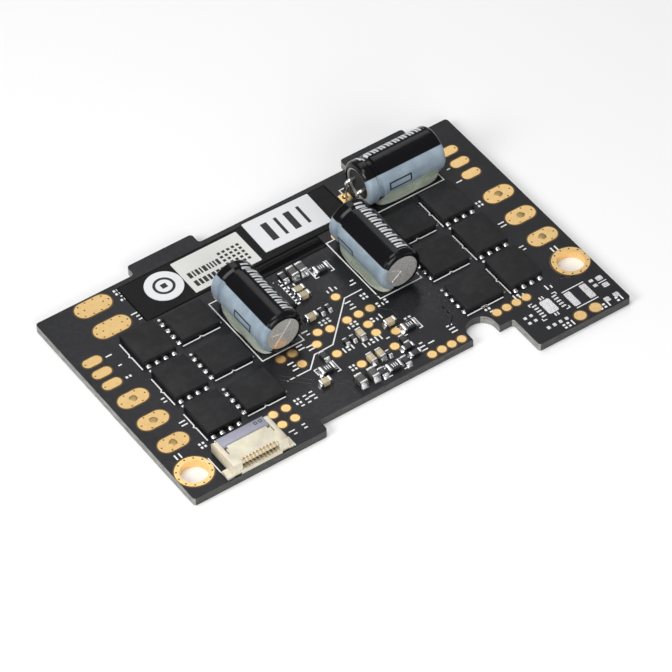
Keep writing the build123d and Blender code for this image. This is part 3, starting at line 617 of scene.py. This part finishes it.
# ------------ CAD nodes that keep their shape
COLUMNS = {  # whether a column's leads leave along Y
    "left_outer": True,
    "left_inner": False,
    "right_inner": False,
    "right_outer": True,
}
ROWS = (1, 2, 3)
CAPS = (1, 2, 3)
MOULD_EDGE = 0.055  # how wide an edge is rounded
SOFT_EDGES = {
    "controller_ic": 0.04, "ffc_housing": 0.04, "ffc_latch": 0.06, "chip_terminals": 0.05,
    "ceramic_capacitors": 0.05, "ferrite_beads": 0.06, "chip_resistors": 0.02, "sense_resistors": 0.03,
}


def dress_cad():
    dress(MASK, "circuit_board")
    dress(GOLD, "mounting_eyelets", "right_motor_pads", "right_signal_pads")
    dress(GOLD, "capacitor_lead_pads", "test_pads")
    dress(SHADED_GOLD, "battery_pads", "left_motor_pads", "left_signal_pads")
    dress(SOLDER, "bare_footprints", "capacitor_solder_joints", "chip_terminals", "controller_ic_leads",
          "ffc_hold_downs")
    for column in COLUMNS:
        for row in ROWS:
            dress(MOULD, f"{column}_mosfet_{row}")
            soften(f"{column}_mosfet_{row}", MOULD_EDGE)
    dress(GLOSS_MOULD, "controller_ic")
    for number in CAPS:
        dress(BUNG, f"capacitor_{number}_bung")
        dress(WINDING, f"capacitor_{number}_winding")
        dress(WIRE, f"capacitor_{number}_leads")
    dress(NYLON, "ffc_housing")
    dress(LATCH_NYLON, "ffc_latch")
    dress(CONTACT_GOLD, "ffc_contacts")
    dress(BEIGE, "ceramic_capacitors")
    dress(FERRITE, "ferrite_beads")
    dress(RESISTOR, "chip_resistors", "sense_resistors")
    dress(PAPER, "side_label", "round_label")
    dress(WARM_PAPER, "serial_label")
    for name, width in SOFT_EDGES.items():
        soften(name, width)


def dress_capacitors():
    first = node_box("capacitor_1_can")
    face = middle(first)
    # Painted warm reflection low on the first can's bare end: centre, reach and colour.
    painted_reflection = ((face.x - 0.8, face.z - 1.7), 1.25, (0.95, 0.68, 0.45))
    dress(can_look("can_aluminium_painted_reflection", painted_reflection), "capacitor_1_can")
    plain = can_look("can_aluminium", None)
    dress(plain, "capacitor_2_can", "capacitor_3_can")
    dress(sleeve_look("sleeve_1", "capacitor_1_sleeve", "y", 0, (2.8, 6.5), True), "capacitor_1_sleeve")
    dress(sleeve_look("sleeve_2", "capacitor_2_sleeve", "y", 12, (6.4, 9.8), True), "capacitor_2_sleeve")
    dress(sleeve_look("sleeve_3", "capacitor_3_sleeve", "x", 0, (5.6, 9.1), False), "capacitor_3_sleeve")


# ------------ gold pads' surrounds
HALO_T, HALO_W = 0.006, 0.19  # bare laminate shown round each gold pad
HALO_EDGE_GAP, HALO_EDGE_STEP = 0.02, 0.03  # how far the eyelets' surrounds stay inside the board's edge
SLOT_PADS = ("battery_pads", "left_motor_pads", "right_motor_pads", "left_signal_pads", "right_signal_pads")


def pad_halos():
    halos = Shape()
    low, high = TOP, TOP + HALO_T
    for name in SLOT_PADS:
        for box in islands(name):
            halos.prism(stadium(box, HALO_W), low, high)
    for box in islands("test_pads"):
        centre = middle(box)
        halos.disc(centre.x, centre.y, extent(box).x / 2 + HALO_W, low, high)
    edge = node_box("circuit_board")[1].x - HALO_EDGE_GAP
    for box in islands("mounting_eyelets"):
        centre, radius = middle(box), extent(box).y / 2
        loops = []
        for reach, limit in ((radius + HALO_W, edge), (radius - 0.15, edge - HALO_EDGE_STEP)):
            points = circle(centre.x, centre.y, reach, 48)
            loops.append([(max(-limit, min(limit, x)), y) for x, y in points])
        halos.band(*loops, low, high)
    halos.piece("pad_surrounds", HALO)


SCAR_R, SCAR_STRETCH = 0.5, 1.15
SCAR_SINK, SCAR_FLOOR, SCAR_RIM = 0.01, 0.012, 0.002  # below the pad's top, above it, above it at the rim


def pad_scars():
    """The rough little mark a test probe leaves in the middle of each motor pad."""
    scars = Shape()
    around, rings = 20, 5
    for name in ("left_motor_pads", "right_motor_pads"):
        for index, box in enumerate(islands(name)):
            centre, top = middle(box), box[1].z
            points = [(centre.x, centre.y, top + 0.02)]
            for ring in range(1, rings + 1):
                f = ring / rings
                for k in range(around):
                    a = 2 * math.pi * k / around
                    reach = SCAR_R * f * (1 + 0.3 * wavy(math.cos(a) * 1.4, math.sin(a) * 1.4, index * 5.0))
                    rise = 0.05 * (1 - f) + 0.03 * max(0.0, wavy(reach * 6 + index, a * 2, 3.0)) * (1 - f * f)
                    height = SCAR_FLOOR + rise if ring < rings else SCAR_RIM
                    x = centre.x + reach * SCAR_STRETCH * math.cos(a)
                    points.append((x, centre.y + reach * math.sin(a), top + height))
            under = len(points)
            points += [(p[0], p[1], top - SCAR_SINK) for p in points[under - around:under]]
            faces = [[0, 1 + k, 1 + (k + 1) % around] for k in range(around)]
            for ring in range(rings):
                first = 1 + ring * around
                for k in range(around):
                    j = (k + 1) % around
                    faces.append([first + k, first + around + k, first + around + j, first + j])
            faces.append([under + k for k in range(around)][::-1])
            scars.add(points, faces)
    made = scars.piece("pad_probe_marks", BRONZE, smooth=True)


# ------------ silkscreen
SILK_W, FINE_SILK_W = 0.17, 0.14
STEP_HALF, STEP_OUT = 0.28, 0.22  # the small step in each transistor's line
LINE_OFF = {  # that line's distance from the middle of the body
    "left_outer": 2.84, "left_inner": 2.74, "right_inner": 2.74, "right_outer": 2.68,
}
LINE_UPRIGHT, DOT_UPRIGHT = (2.25, -3.2, 2.6), (-2.15, -3.95)  # start, end and step; pin-one dot
LINE_LEVEL, DOT_LEVEL = (-3.05, 2.6, 2.8), (-3.05, 2.85)
DOT_R, DOT_STEPS = 0.2, 12
CAP_FRAMES = {  # off a sleeve's box: left side out, front in, back out, right side out
    1: (0.0, 0.22, 0.4, 0.0),
    2: (-0.01, 0.35, 0.45, 0.12),
    3: (0.75, -0.02, 0.0, -0.65),
}
PLUS, PLUS_ARM, PLUS_UPRIGHT = (11.4, 14.4), 0.5, (0.1, 0.55)


def silk_mark(shape, path, width=SILK_W, closed=False):
    shape.line(path, width, TOP, TOP + INK_T, closed)


def bumped(start, end, at, side):
    """A straight silk line with a small step to one side part way along."""
    start, end = Vector(start), Vector(end)
    along = (end - start).normalized()
    across = Vector((-along.y, along.x)) * side * STEP_OUT
    near, far = start + along * (at - STEP_HALF), start + along * (at + STEP_HALF)
    tip = start + along * at + across
    return [tuple(p) for p in (start, near, tip, far, end)]


def transistor_silk(shape):
    """Each transistor's line and pin-one dot, placed from its moulded body."""
    for column, along_y in COLUMNS.items():
        off = LINE_OFF[column]
        for row in ROWS:
            c = middle(node_box(f"{column}_mosfet_{row}"))
            if along_y:
                start, end, step = LINE_UPRIGHT
                path = bumped((c.x - off, c.y + start), (c.x - off, c.y + end), step, -1)
                dot = DOT_UPRIGHT
            else:
                start, end, step = LINE_LEVEL
                path = bumped((c.x + start, c.y - off), (c.x + end, c.y - off), step, 1)
                dot = DOT_LEVEL
            silk_mark(shape, path)
            shape.disc(c.x + dot[0], c.y + dot[1], DOT_R, TOP, TOP + INK_T, DOT_STEPS)


def capacitor_silk(shape):
    """The frame printed round each capacitor, and the cross by the third one's leads."""
    for number, (left, front, back, right) in CAP_FRAMES.items():
        low, high = node_box(f"capacitor_{number}_sleeve")
        x0, x1 = low.x - left, high.x + right
        y0, y1 = low.y + front, high.y + back
        silk_mark(shape, [(x0, y0), (x1, y0), (x1, y1), (x0, y1)], closed=True)
    x, y = PLUS
    near, far = PLUS_UPRIGHT
    silk_mark(shape, [(x - PLUS_ARM, y), (x + PLUS_ARM, y)])
    silk_mark(shape, [(x, y + near), (x, y + far)])
    silk_mark(shape, [(x, y - far), (x, y - near)])


DIVIDER = [(-11.6, -7.67), (-8.1, -7.67), (-6.25, -5.87), (-3.4, -5.8), (2.4, 0.05), (5.1, 0.08)]
SMALL_PRINT = [  # x, y, turn, number of marks
    (-20.5, 17.4, 90, 4), (-20.8, 12.9, 90, 3), (-27.4, 9.2, 90, 1), (-27.3, 7.0, 90, 1), (-27.3, 4.7, 90, 1),
    (-26.1, -1.3, 90, 2), (-26.1, -6.0, 90, 2), (-26.2, -10.5, 90, 2), (-29.7, -10.3, 0, 2),
    (-14.3, -15.2, 90, 2), (-15.9, -15.3, 90, 2), (-12.5, -11.6, 90, 3), (-11.5, -11.6, 90, 3),
    (-10.5, -11.5, 90, 3), (-9.6, -6.0, 90, 3), (-7.0, -3.8, 90, 2), (-6.0, -4.6, 90, 2), (-5.1, -2.2, 90, 2),
    (-2.0, -1.9, 0, 3), (1.9, 2.4, 0, 3), (4.7, 1.8, 90, 2), (4.6, -1.1, 90, 2), (2.3, -1.4, 90, 3),
    (5.8, -3.4, 0, 3), (3.7, -5.2, 0, 3), (0.5, -4.4, 0, 3), (1.0, -8.2, 0, 5), (2.7, -8.9, 90, 1),
    (-2.2, -7.5, 0, 3), (-3.6, -10.6, 90, 2), (5.5, -12.7, 90, 3), (6.9, -12.7, 90, 1), (10.4, -12.3, 90, 3),
    (6.9, -7.7, 0, 2), (16.0, -12.2, 90, 3), (20.6, -12.6, 0, 3), (24.6, -13.5, 0, 2), (22.8, -20.4, 0, 3),
    (28.4, -20.4, 0, 3), (30.7, -20.4, 0, 2), (29.2, -8.5, 0, 2), (25.9, -6.0, 90, 2), (26.4, -1.0, 90, 2),
    (26.2, 3.8, 90, 2), (26.5, 8.7, 90, 1), (26.5, 11.4, 90, 1),
]
MARK_PITCH = 0.62
MARKS = [  # across, along, width and depth of the bars in each kind of mark
    [(0, 0, 0.2, 0.9)],
    [(0, 0.26, 0.36, 0.3), (0, -0.26, 0.36, 0.3)],
    [(0, -0.2, 0.2, 0.5)],
]


def small_print(shape):
    """Plain bars and dashes where the board carries its small print."""
    draw = random.Random(11)
    for x, y, turn, count in SMALL_PRINT:
        c, s = math.cos(math.radians(turn)), math.sin(math.radians(turn))
        for i in range(count):
            along = (i - (count - 1) / 2) * MARK_PITCH
            for u, v, width, depth in MARKS[draw.randrange(len(MARKS))]:
                px, py = x + (along + u) * c - v * s, y + (along + u) * s + v * c
                shape.rectangle(px, py, width, depth, TOP, TOP + INK_T, turn)


BRACKET_PAST_END, BRACKET_PAST_SIDE, BRACKET_ARM = 0.75, 0.32, 0.5
EMPTY_CHIP = (20.55, 24.7, -18.05, -14.75)  # x0, x1, y0, y1 of the corner marks round the empty footprint
EMPTY_CHIP_ARMS = (0.55, 0.4)
TICKS = [  # start, end and width of the short straight marks
    ((25.3, -15.4), (28.7, -15.4), 0.14), ((25.3, -18.7), (28.7, -18.7), 0.14),
    ((30.1, -16.78), (31.3, -16.78), 0.13),
    ((-13.7, 17.85), (-12.85, 17.85), SILK_W), ((-13.7, 13.3), (-12.85, 13.3), SILK_W),
]
SOCKET_LINE, SOCKET_LINE_W, SOCKET_LINE_OFF = (1.75, 4.7), 0.15, 0.02


def small_part_silk(shape):
    """Brackets round the sense resistors and the empty footprint, and straight lines by other parts."""
    for box in islands("sense_resistors"):
        c, size = middle(box), extent(box) / 2
        reach, side = size.x + BRACKET_PAST_END, size.y + BRACKET_PAST_SIDE
        for end in (1, -1):
            x = c.x + end * reach
            arm = x - end * BRACKET_ARM
            path = [(arm, c.y - side), (x, c.y - side), (x, c.y + side), (arm, c.y + side)]
            silk_mark(shape, path, FINE_SILK_W)
    x0, x1, y0, y1 = EMPTY_CHIP
    arm_x, arm_y = EMPTY_CHIP_ARMS
    for x, inward in ((x0, 1), (x1, -1)):
        for y, upward in ((y0, 1), (y1, -1)):
            silk_mark(shape, [(x + inward * arm_x, y), (x, y), (x, y + upward * arm_y)], 0.13)
    for start, end, width in TICKS:
        silk_mark(shape, [start, end], width)
    front = node_box("ffc_housing")[0]
    x = front.x - SOCKET_LINE_OFF
    silk_mark(shape, [(x, front.y + up) for up in SOCKET_LINE], SOCKET_LINE_W)


def silkscreen():
    ink = Shape()
    transistor_silk(ink)
    capacitor_silk(ink)
    silk_mark(ink, DIVIDER)
    small_print(ink)
    small_part_silk(ink)
    ink.piece("silkscreen", WHITE_INK)


# ------------ copper under the mask
TRACES = [
    [(-12.0, -6.0), (-11.2, -6.8), (-8.7, -9.3), (-7.6, -9.3)],
    [(-12.4, -6.6), (-9.1, -9.9), (-8.9, -9.9)],
    [(-5.9, -11.5), (-5.0, -12.4), (-5.0, -14.2)],
    [(-6.6, -11.6), (-5.7, -12.5), (-5.7, -14.6)],
    [(-4.9, 1.6), (-2.9, -1.5), (-2.9, -2.4)],
    [(5.0, -3.9), (6.2, -5.1), (6.2, -7.4)],
    [(5.4, -1.3), (6.3, -2.2), (12.6, -2.2)],
    [(-0.4, 1.3), (0.4, 0.5), (0.4, -1.2)],
    [(3.3, -11.0), (3.3, -9.3), (5.2, -7.9)],
    [(11.0, -11.4), (12.1, -10.3), (12.1, -8.0)],
    [(10.4, -11.8), (11.6, -10.6), (11.6, -8.0)],
    [(27.0, -12.9), (27.9, -13.8), (31.2, -13.8)],
]
VIA_FIELDS = [  # first x, y, columns, rows, pitch in x and y
    (10.8, -4.5, 3, 6, 0.95, 1.05), (-12.7, 10.6, 5, 1, 0.9, 1.0), (18.3, 9.7, 4, 2, 0.9, 0.9),
    (-13.4, 10.7, 1, 1, 1, 1), (24.6, -13.2, 4, 1, 0.8, 1), (5.0, 9.7, 1, 4, 0.8, 0.9),
    (-18.7, -12.4, 1, 4, 1, 1.0), (13.4, -5.9, 1, 2, 0.8, 0.8),
]
TRACE_H, TRACE_W = 0.018, 0.24
VIA_R, VIA_HOLE_R, VIA_STEPS = 0.26, 0.11, 16


def hidden_copper():
    """Tracks and tented vias, raised a little under the same black mask."""
    copper = Shape()
    for path in TRACES:
        copper.line(path, TRACE_W, TOP, TOP + TRACE_H)
    for x, y, columns, rows, pitch_x, pitch_y in VIA_FIELDS:
        for i in range(columns):
            for j in range(rows):
                centre = (x + i * pitch_x, y - j * pitch_y)
                rings = [circle(*centre, radius, VIA_STEPS) for radius in (VIA_R, VIA_HOLE_R)]
                copper.band(*rings, TOP, TOP + TRACE_H)
    copper.piece("tracks_under_mask", MASK)


# ------------ transistor leads and solder
LEAD_COLUMNS, LEAD_ROWS = 10, 7
LEAD_HALF = 0.5  # of the joint's width that the lead itself takes
LEAD_FLAT, LEAD_END = 0.45, 0.7  # shares of the reach where the lead starts to drop, and where it ends
SOLDER_EDGE, SOLDER_SHARE = 0.03, 0.62
JOINT_OVERREACH = 1.06


def joint_height(u, v, height):
    """Height of a lead in its solder: u goes across it from -1 to 1, v away from the body from 0 to 1."""
    side = max(0.0, 1 - abs(u) ** 3)
    solder = SOLDER_EDGE + SOLDER_SHARE * height * (1 - v) ** 0.75 * side
    lead = 0.0
    if abs(u) < LEAD_HALF and v < LEAD_END:
        lead = height if v < LEAD_FLAT else height * (LEAD_END - v) / (LEAD_END - LEAD_FLAT)
    return max(solder, lead * (1 - 0.15 * v))


def lead_joint(width, reach, height):
    """Points and faces of one lead in its solder, leaving a body at v = 0 towards +v."""
    def place(i, j, top):
        u, v = i / LEAD_COLUMNS * 2 - 1, j / LEAD_ROWS
        bulge = 1 - 0.18 * v * v
        toe = v - 0.12 * v * v * abs(u) ** 2
        return u * width / 2 * bulge, toe * reach, joint_height(u, v, height) if top else 0.0

    return height_field(LEAD_COLUMNS, LEAD_ROWS, place)


def transistor_leads():
    """Each column's leads as one piece, with eight joints to a transistor."""
    for column, along_y in COLUMNS.items():
        node = f"{column}_mosfet_leads"
        bodies = [middle(node_box(f"{column}_mosfet_{row}")) for row in ROWS]
        joints = Shape()
        for box in islands(node):
            centre, size = middle(box), extent(box)
            body = min(bodies, key=lambda c: (c - centre).length)
            away = centre - body
            out = Vector((0, math.copysign(1, away.y))) if along_y else Vector((math.copysign(1, away.x), 0))
            width, reach = (size.x, size.y) if along_y else (size.y, size.x)
            start = Vector((centre.x, centre.y)) - out * reach / 2
            across = Vector((out.y, -out.x))
            points, faces = lead_joint(width, reach * JOINT_OVERREACH, size.z)
            placed = [(*(start + across * u + out * v), TOP + h) for u, v, h in points]
            joints.add(placed, faces)
        made = joints.piece(f"{column}_lead_joints", SOLDER, smooth=True)
        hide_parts(node)


# ------------ adhesive
def wavy(*point):
    return noise.noise(Vector(point))


def bead_section(radius, axis_height, toe, climb, bulge):
    """Cross-section of one bead: out along the board, up its wall and back under the can."""
    contact = math.asin(min(0.98, (axis_height - climb) / radius))
    shoulder = -radius * math.cos(contact)
    points = [(-0.5, 0.005), (-toe * 0.5, 0.005), (-toe + 0.12, 0.005)]
    for k in range(1, 14):
        f = k / 13
        across = -toe + (shoulder + toe) * f ** 1.6 - bulge * math.sin(math.pi * f)
        points.append((across, climb * f ** 0.9))
    inner = radius * 0.975
    for k in range(1, 7):
        angle = contact + (math.pi / 2 - contact) * k / 6.5
        points.append((-inner * math.cos(angle), max(0.02, axis_height - inner * math.sin(angle))))
    return points


STATIONS = 48  # cross-sections along one bead


def adhesive():
    """A smooth swelling bead of adhesive between each can and the board, on the side of its stripe."""
    beads = Shape()
    cans = [node_box(f"capacitor_{n}_sleeve") for n in CAPS]
    for number, box in enumerate(islands("capacitor_adhesive")):
        centre = middle(box)
        can = min(cans, key=lambda c: (middle(c) - centre).length)
        axis = middle(can)
        along_y = extent(can).y > extent(can).x
        radius = extent(can).x / 2 if along_y else extent(can).y / 2
        length = extent(box).y if along_y else extent(box).x
        start = box[0].y if along_y else box[0].x
        rings = []
        for i in range(STATIONS + 1):
            t = i / STATIONS
            full = (1 - abs(2 * t - 1) ** 5) ** 0.5
            toe = 1.7 + full * (1.2 + 0.16 * wavy(t * 3.4, number * 3.1, 0.3))
            climb = 0.9 + full * (1.5 + 0.3 * wavy(t * 3.0, 7.7, number * 2.3))
            bulge = full * (0.24 + 0.1 * wavy(t * 4.2, 2.2, number))
            run = start + length * t
            for across, up in bead_section(radius, axis.z - TOP, toe, climb, bulge):
                place = (axis.x + across, run) if along_y else (run, axis.y + across)
                rings.append((*place, TOP + up))
        count = len(rings) // (STATIONS + 1)
        faces = []
        for i in range(STATIONS):
            for k in range(count):
                a, b = i * count + k, i * count + (k + 1) % count
                faces.append([a, b, b + count, a + count])
        faces.append(list(range(count))[::-1])
        faces.append([STATIONS * count + k for k in range(count)])
        beads.add(rings, faces)
    made = beads.piece("adhesive_beads", GLUE, smooth=True)
    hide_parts("capacitor_adhesive")


# ------------ tape
TAPE_STEP_Y = 11.3  # front edge of the long stretch
TAPE_PATCH_X = (-5.6, 5.9)  # sides of the short one in front of it
FOLD_Y, FOLD_W, FOLD_H = 10.2, 0.34, 0.35
FILM_T, RIPPLE_H = 0.02, 0.028


def tape():
    """Black film laid over the board: softly rippled, with a raised fold along its front."""
    low, high = node_box("insulating_tape")
    stretches = [  # x0, x1, y0, y1, columns, rows, fold height
        (low.x, high.x, TAPE_STEP_Y, high.y, 150, 34, 0.0),
        (*TAPE_PATCH_X, low.y, TAPE_STEP_Y, 60, 14, FOLD_H),
    ]
    film = Shape()
    for x0, x1, y0, y1, columns, rows, fold_height in stretches:
        def place(i, j, top):
            x, y = x0 + (x1 - x0) * i / columns, y0 + (y1 - y0) * j / rows
            inside = min(1.0, min(i, columns - i, j, rows - j) / 2)
            ripple = 0.5 + 0.5 * wavy(x * 0.35, y * 0.9, 2.0)
            fold = math.exp(-((y - FOLD_Y) / FOLD_W) ** 2) * fold_height
            fold *= max(0.0, 1 - (2 * (x - x0) / (x1 - x0) - 1) ** 4)
            height = FILM_T + (RIPPLE_H * ripple + fold) * inside
            return x, y, TOP + (height if top else 0.0)

        film.add(*height_field(columns, rows, place))
    made = film.piece("tape_film", TAPE, smooth=True)
    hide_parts("insulating_tape")


# ------------ marks on the labels
BAR_ROWS, BAR_DEPTH = (1.35, 3.0), 1.05  # up from the serial label's front edge
BAR_RUN, BAR_WIDTHS, BAR_GAP = (0.75, 5.3), (0.24, 0.4, 0.5), 0.22
GRID_CORNER, GRID_COUNT, GRID_PITCH, GRID_CELL = (-4.0, 1.25), 5, 0.72, 0.42
STRIPE_WIDTHS, STRIPE_PITCH, STRIPE_DEPTH, STRIPE_TURN = (0.95, 0.45, 0.95, 0.45), 1.75, 3.4, -1.6
RING_RADII, RING_STEPS, RING_SQUARE = (1.5, 1.12), 40, 0.8


def label_marks():
    """Plain bars, an even grid of squares and a ring: the labels' print with nothing to read."""
    ink = Shape()
    draw = random.Random(5)
    low, high = node_box("serial_label")
    z0, z1 = high.z, high.z + INK_T
    for up in BAR_ROWS:
        x = low.x + BAR_RUN[0]
        while x < low.x + BAR_RUN[1]:
            width = draw.choice(BAR_WIDTHS)
            ink.rectangle(x + width / 2, low.y + up, width, BAR_DEPTH, z0, z1)
            x += width + BAR_GAP
    corner = Vector((high.x + GRID_CORNER[0], low.y + GRID_CORNER[1]))
    for i in range(GRID_COUNT):
        for j in range(GRID_COUNT):
            ink.rectangle(corner.x + i * GRID_PITCH, corner.y + j * GRID_PITCH, GRID_CELL, GRID_CELL, z0, z1)
    centre = middle(node_box("side_label"))
    for i, width in enumerate(STRIPE_WIDTHS):
        x = centre.x + (i - (len(STRIPE_WIDTHS) - 1) / 2) * STRIPE_PITCH
        ink.rectangle(x, centre.y, width, STRIPE_DEPTH, z0, z1, STRIPE_TURN)
    seal = middle(node_box("round_label"))
    ink.band(*(circle(seal.x, seal.y, radius, RING_STEPS) for radius in RING_RADII), z0, z1)
    ink.rectangle(seal.x, seal.y, RING_SQUARE, RING_SQUARE, z0, z1)
    ink.piece("label_print", BLACK_INK)


# ------------ small trims
VENT_CREASES = ((90, -2.1, 2.1), (205, 0.0, 1.9), (140, 0.1, 1.7))  # angle, start and end
VENT_TURN = {1: -38, 2: 14}
CREASE_HALF, CREASE_H, CREASE_SINK = 0.09, 0.06, 0.004


def vent_scores():
    """The pressure vent in the bare end of the two front cans: three low raised creases."""
    for number, turn in VENT_TURN.items():
        low, high = node_box(f"capacitor_{number}_can")
        centre = middle((low, high))
        creases = Shape()
        for angle, start, end in VENT_CREASES:
            a = math.radians(angle) + math.radians(turn)
            direction = Vector((math.cos(a), math.sin(a)))
            across = Vector((-direction.y, direction.x)) * CREASE_HALF
            points = []
            for reach in (start, end):
                base = Vector((centre.x, centre.z)) + direction * reach
                for side, depth in ((-1, 0.0), (0, CREASE_H), (1, 0.0)):
                    p = base + across * side
                    points.append((p.x, low.y + CREASE_SINK - depth, p.y))
            faces = [[0, 1, 4, 3], [1, 2, 5, 4], [2, 0, 3, 5], [0, 2, 1], [3, 4, 5]]
            creases.add(points, faces)
        aluminium = NODES[f"capacitor_{number}_can"].data.materials[0]
        made = creases.piece(f"capacitor_{number}_vent_creases", aluminium)


RIB_W, RIB_DEPTH, RIB_CENTRE, RIB_Z = 0.25, 0.32, 0.13, (-0.3, 0.02)  # under the roof's edge
SILL_W, SILL_BACK, SILL_Z, SILL_SETBACK = 0.28, 0.66, (0.5, 0.66), 0.04  # and on the sill


def connector_comb():
    """The comb in the socket's mouth: ribs between contacts, under the roof's edge and on the sill."""
    comb = Shape()
    contacts = islands("ffc_contacts")
    centres = sorted(middle(box).x for box in contacts)
    pitch = centres[1] - centres[0]
    nose, top = contacts[0][0].y, contacts[0][1].z
    sill = node_box("ffc_housing")[0].y + SILL_SETBACK
    back = nose + SILL_BACK
    ribs = [x - pitch / 2 for x in centres] + [centres[-1] + pitch / 2]
    for x in ribs:
        comb.rectangle(x, nose + RIB_CENTRE, RIB_W, RIB_DEPTH, top + RIB_Z[0], top + RIB_Z[1])
        comb.rectangle(x, (sill + back) / 2, SILL_W, back - sill, TOP + SILL_Z[0], TOP + SILL_Z[1])
    made = comb.piece("ffc_mouth_comb", NYLON)


LATCH_MARK, LATCH_MARK_WALL = 0.46, 0.1
LATCH_MARK_X, LATCH_MARK_UP = (1.75, 1.05), 0.22  # in from the right end, back from the middle


def latch_marks():
    """Small moulded marks on the latch: two square rings near its right end, in darker nylon as painted
    shade.
    """
    marks = Shape()
    low, high = node_box("ffc_latch")
    y = (low.y + high.y) / 2 + LATCH_MARK_UP
    hollow = LATCH_MARK - 2 * LATCH_MARK_WALL
    for inward in LATCH_MARK_X:
        outer, inner = (turned_box(high.x - inward, y, size, size) for size in (LATCH_MARK, hollow))
        marks.band(outer, inner, high.z - 0.01, high.z + 0.03)
    made = marks.piece("latch_marks", LATCH_MARK_PAINTED_SHADE, body=LATCH)


STROKE_PITCH, STROKE_W, STROKE_LENGTH = 0.3, 0.12, 0.62


def resistor_marks():
    """Three pale strokes on each sense resistor."""
    marks = Shape()
    for box in islands("sense_resistors"):
        c, size = middle(box), extent(box)
        along_x = size.x > size.y
        for i in (-1, 0, 1):
            u, v = (i * STROKE_PITCH, 0) if along_x else (0, i * STROKE_PITCH)
            size = (STROKE_W, STROKE_LENGTH) if along_x else (STROKE_LENGTH, STROKE_W)
            marks.rectangle(c.x + u, c.y + v, *size, box[1].z, box[1].z + INK_T)
    made = marks.piece("resistor_marks", WHITE_INK)


# ------------ stage
LIGHTS = {  # place, size and power; every panel faces the object
    "overhead": ((-0.06, 0.04, 0.40), (0.24, 0.24), 0.72),
    "back_panel": ((0.135, 0.26, 0.34), (0.15, 0.30), 0.2),
    "left_key": ((-0.30, -0.02, 0.22), (0.16, 0.16), 0.74),
    "front_fill": ((-0.05, -0.34, 0.16), (0.3, 0.16), 0.7),
}
WORLD_STRENGTH = 0.26
FLOOR_REACH, FLOOR_Z = 900, (-1.0, -0.01)


def area_light(name, place, size, power):
    data = bpy.data.lights.new(name, "AREA")
    data.shape = "RECTANGLE"
    data.size, data.size_y = size
    data.energy = power
    light = bpy.data.objects.new(name, data)
    light.location = place
    light.rotation_euler = (-Vector(place)).to_track_quat("-Z", "Y").to_euler()
    bpy.context.scene.collection.objects.link(light)


def stage():
    ground = Shape()
    ground.rectangle(0, 0, 2 * FLOOR_REACH, 2 * FLOOR_REACH, *FLOOR_Z)
    mesh = bpy.data.meshes.new("floor")
    mesh.from_pydata([p * MM for p in ground.points], [], ground.faces)
    look = Look("pale_floor", (0.86, 0.86, 0.86), 0.6)
    look.color(look.blend(look.noise(0.02, 2), (0.85, 0.85, 0.85), (0.88, 0.88, 0.88)))
    mesh.materials.append(look.material)
    floor = bpy.data.objects.new("floor", mesh)
    bpy.context.scene.collection.objects.link(floor)

    world = bpy.data.worlds.new("studio")
    bpy.context.scene.world = world
    world.use_nodes = True
    background = world.node_tree.nodes["Background"]
    background.inputs["Color"].default_value = (1, 1, 1, 1)
    background.inputs["Strength"].default_value = WORLD_STRENGTH
    for name, (place, size, power) in LIGHTS.items():
        area_light(name, place, size, power)


CAMERA_PLACE = (-0.2291, -0.3557, 0.4391)
CAMERA_RIGHT = (0.8240, -0.5660, -0.0267)
CAMERA_UP = (0.4249, 0.5862, 0.6900)
CAMERA_BACK = (-0.3749, -0.5797, 0.7235)
LENS, SENSOR = 256.7, 36.0


def camera():
    data = bpy.data.cameras.new("camera")
    data.lens = LENS
    data.sensor_width = SENSOR
    data.clip_start, data.clip_end = 0.05, 10
    made = bpy.data.objects.new("camera", data)
    turn = Matrix((CAMERA_RIGHT, CAMERA_UP, CAMERA_BACK)).transposed()
    made.matrix_world = Matrix.Translation(CAMERA_PLACE) @ turn.to_4x4()
    bpy.context.scene.collection.objects.link(made)
    bpy.context.scene.camera = made


bpy.context.scene.view_settings.view_transform = "Standard"
camera()
dress_cad()
dress_capacitors()
pad_halos()
pad_scars()
silkscreen()
hidden_copper()
transistor_leads()
adhesive()
tape()
label_marks()
vent_scores()
resistor_marks()
connector_comb()
latch_marks()
stage()
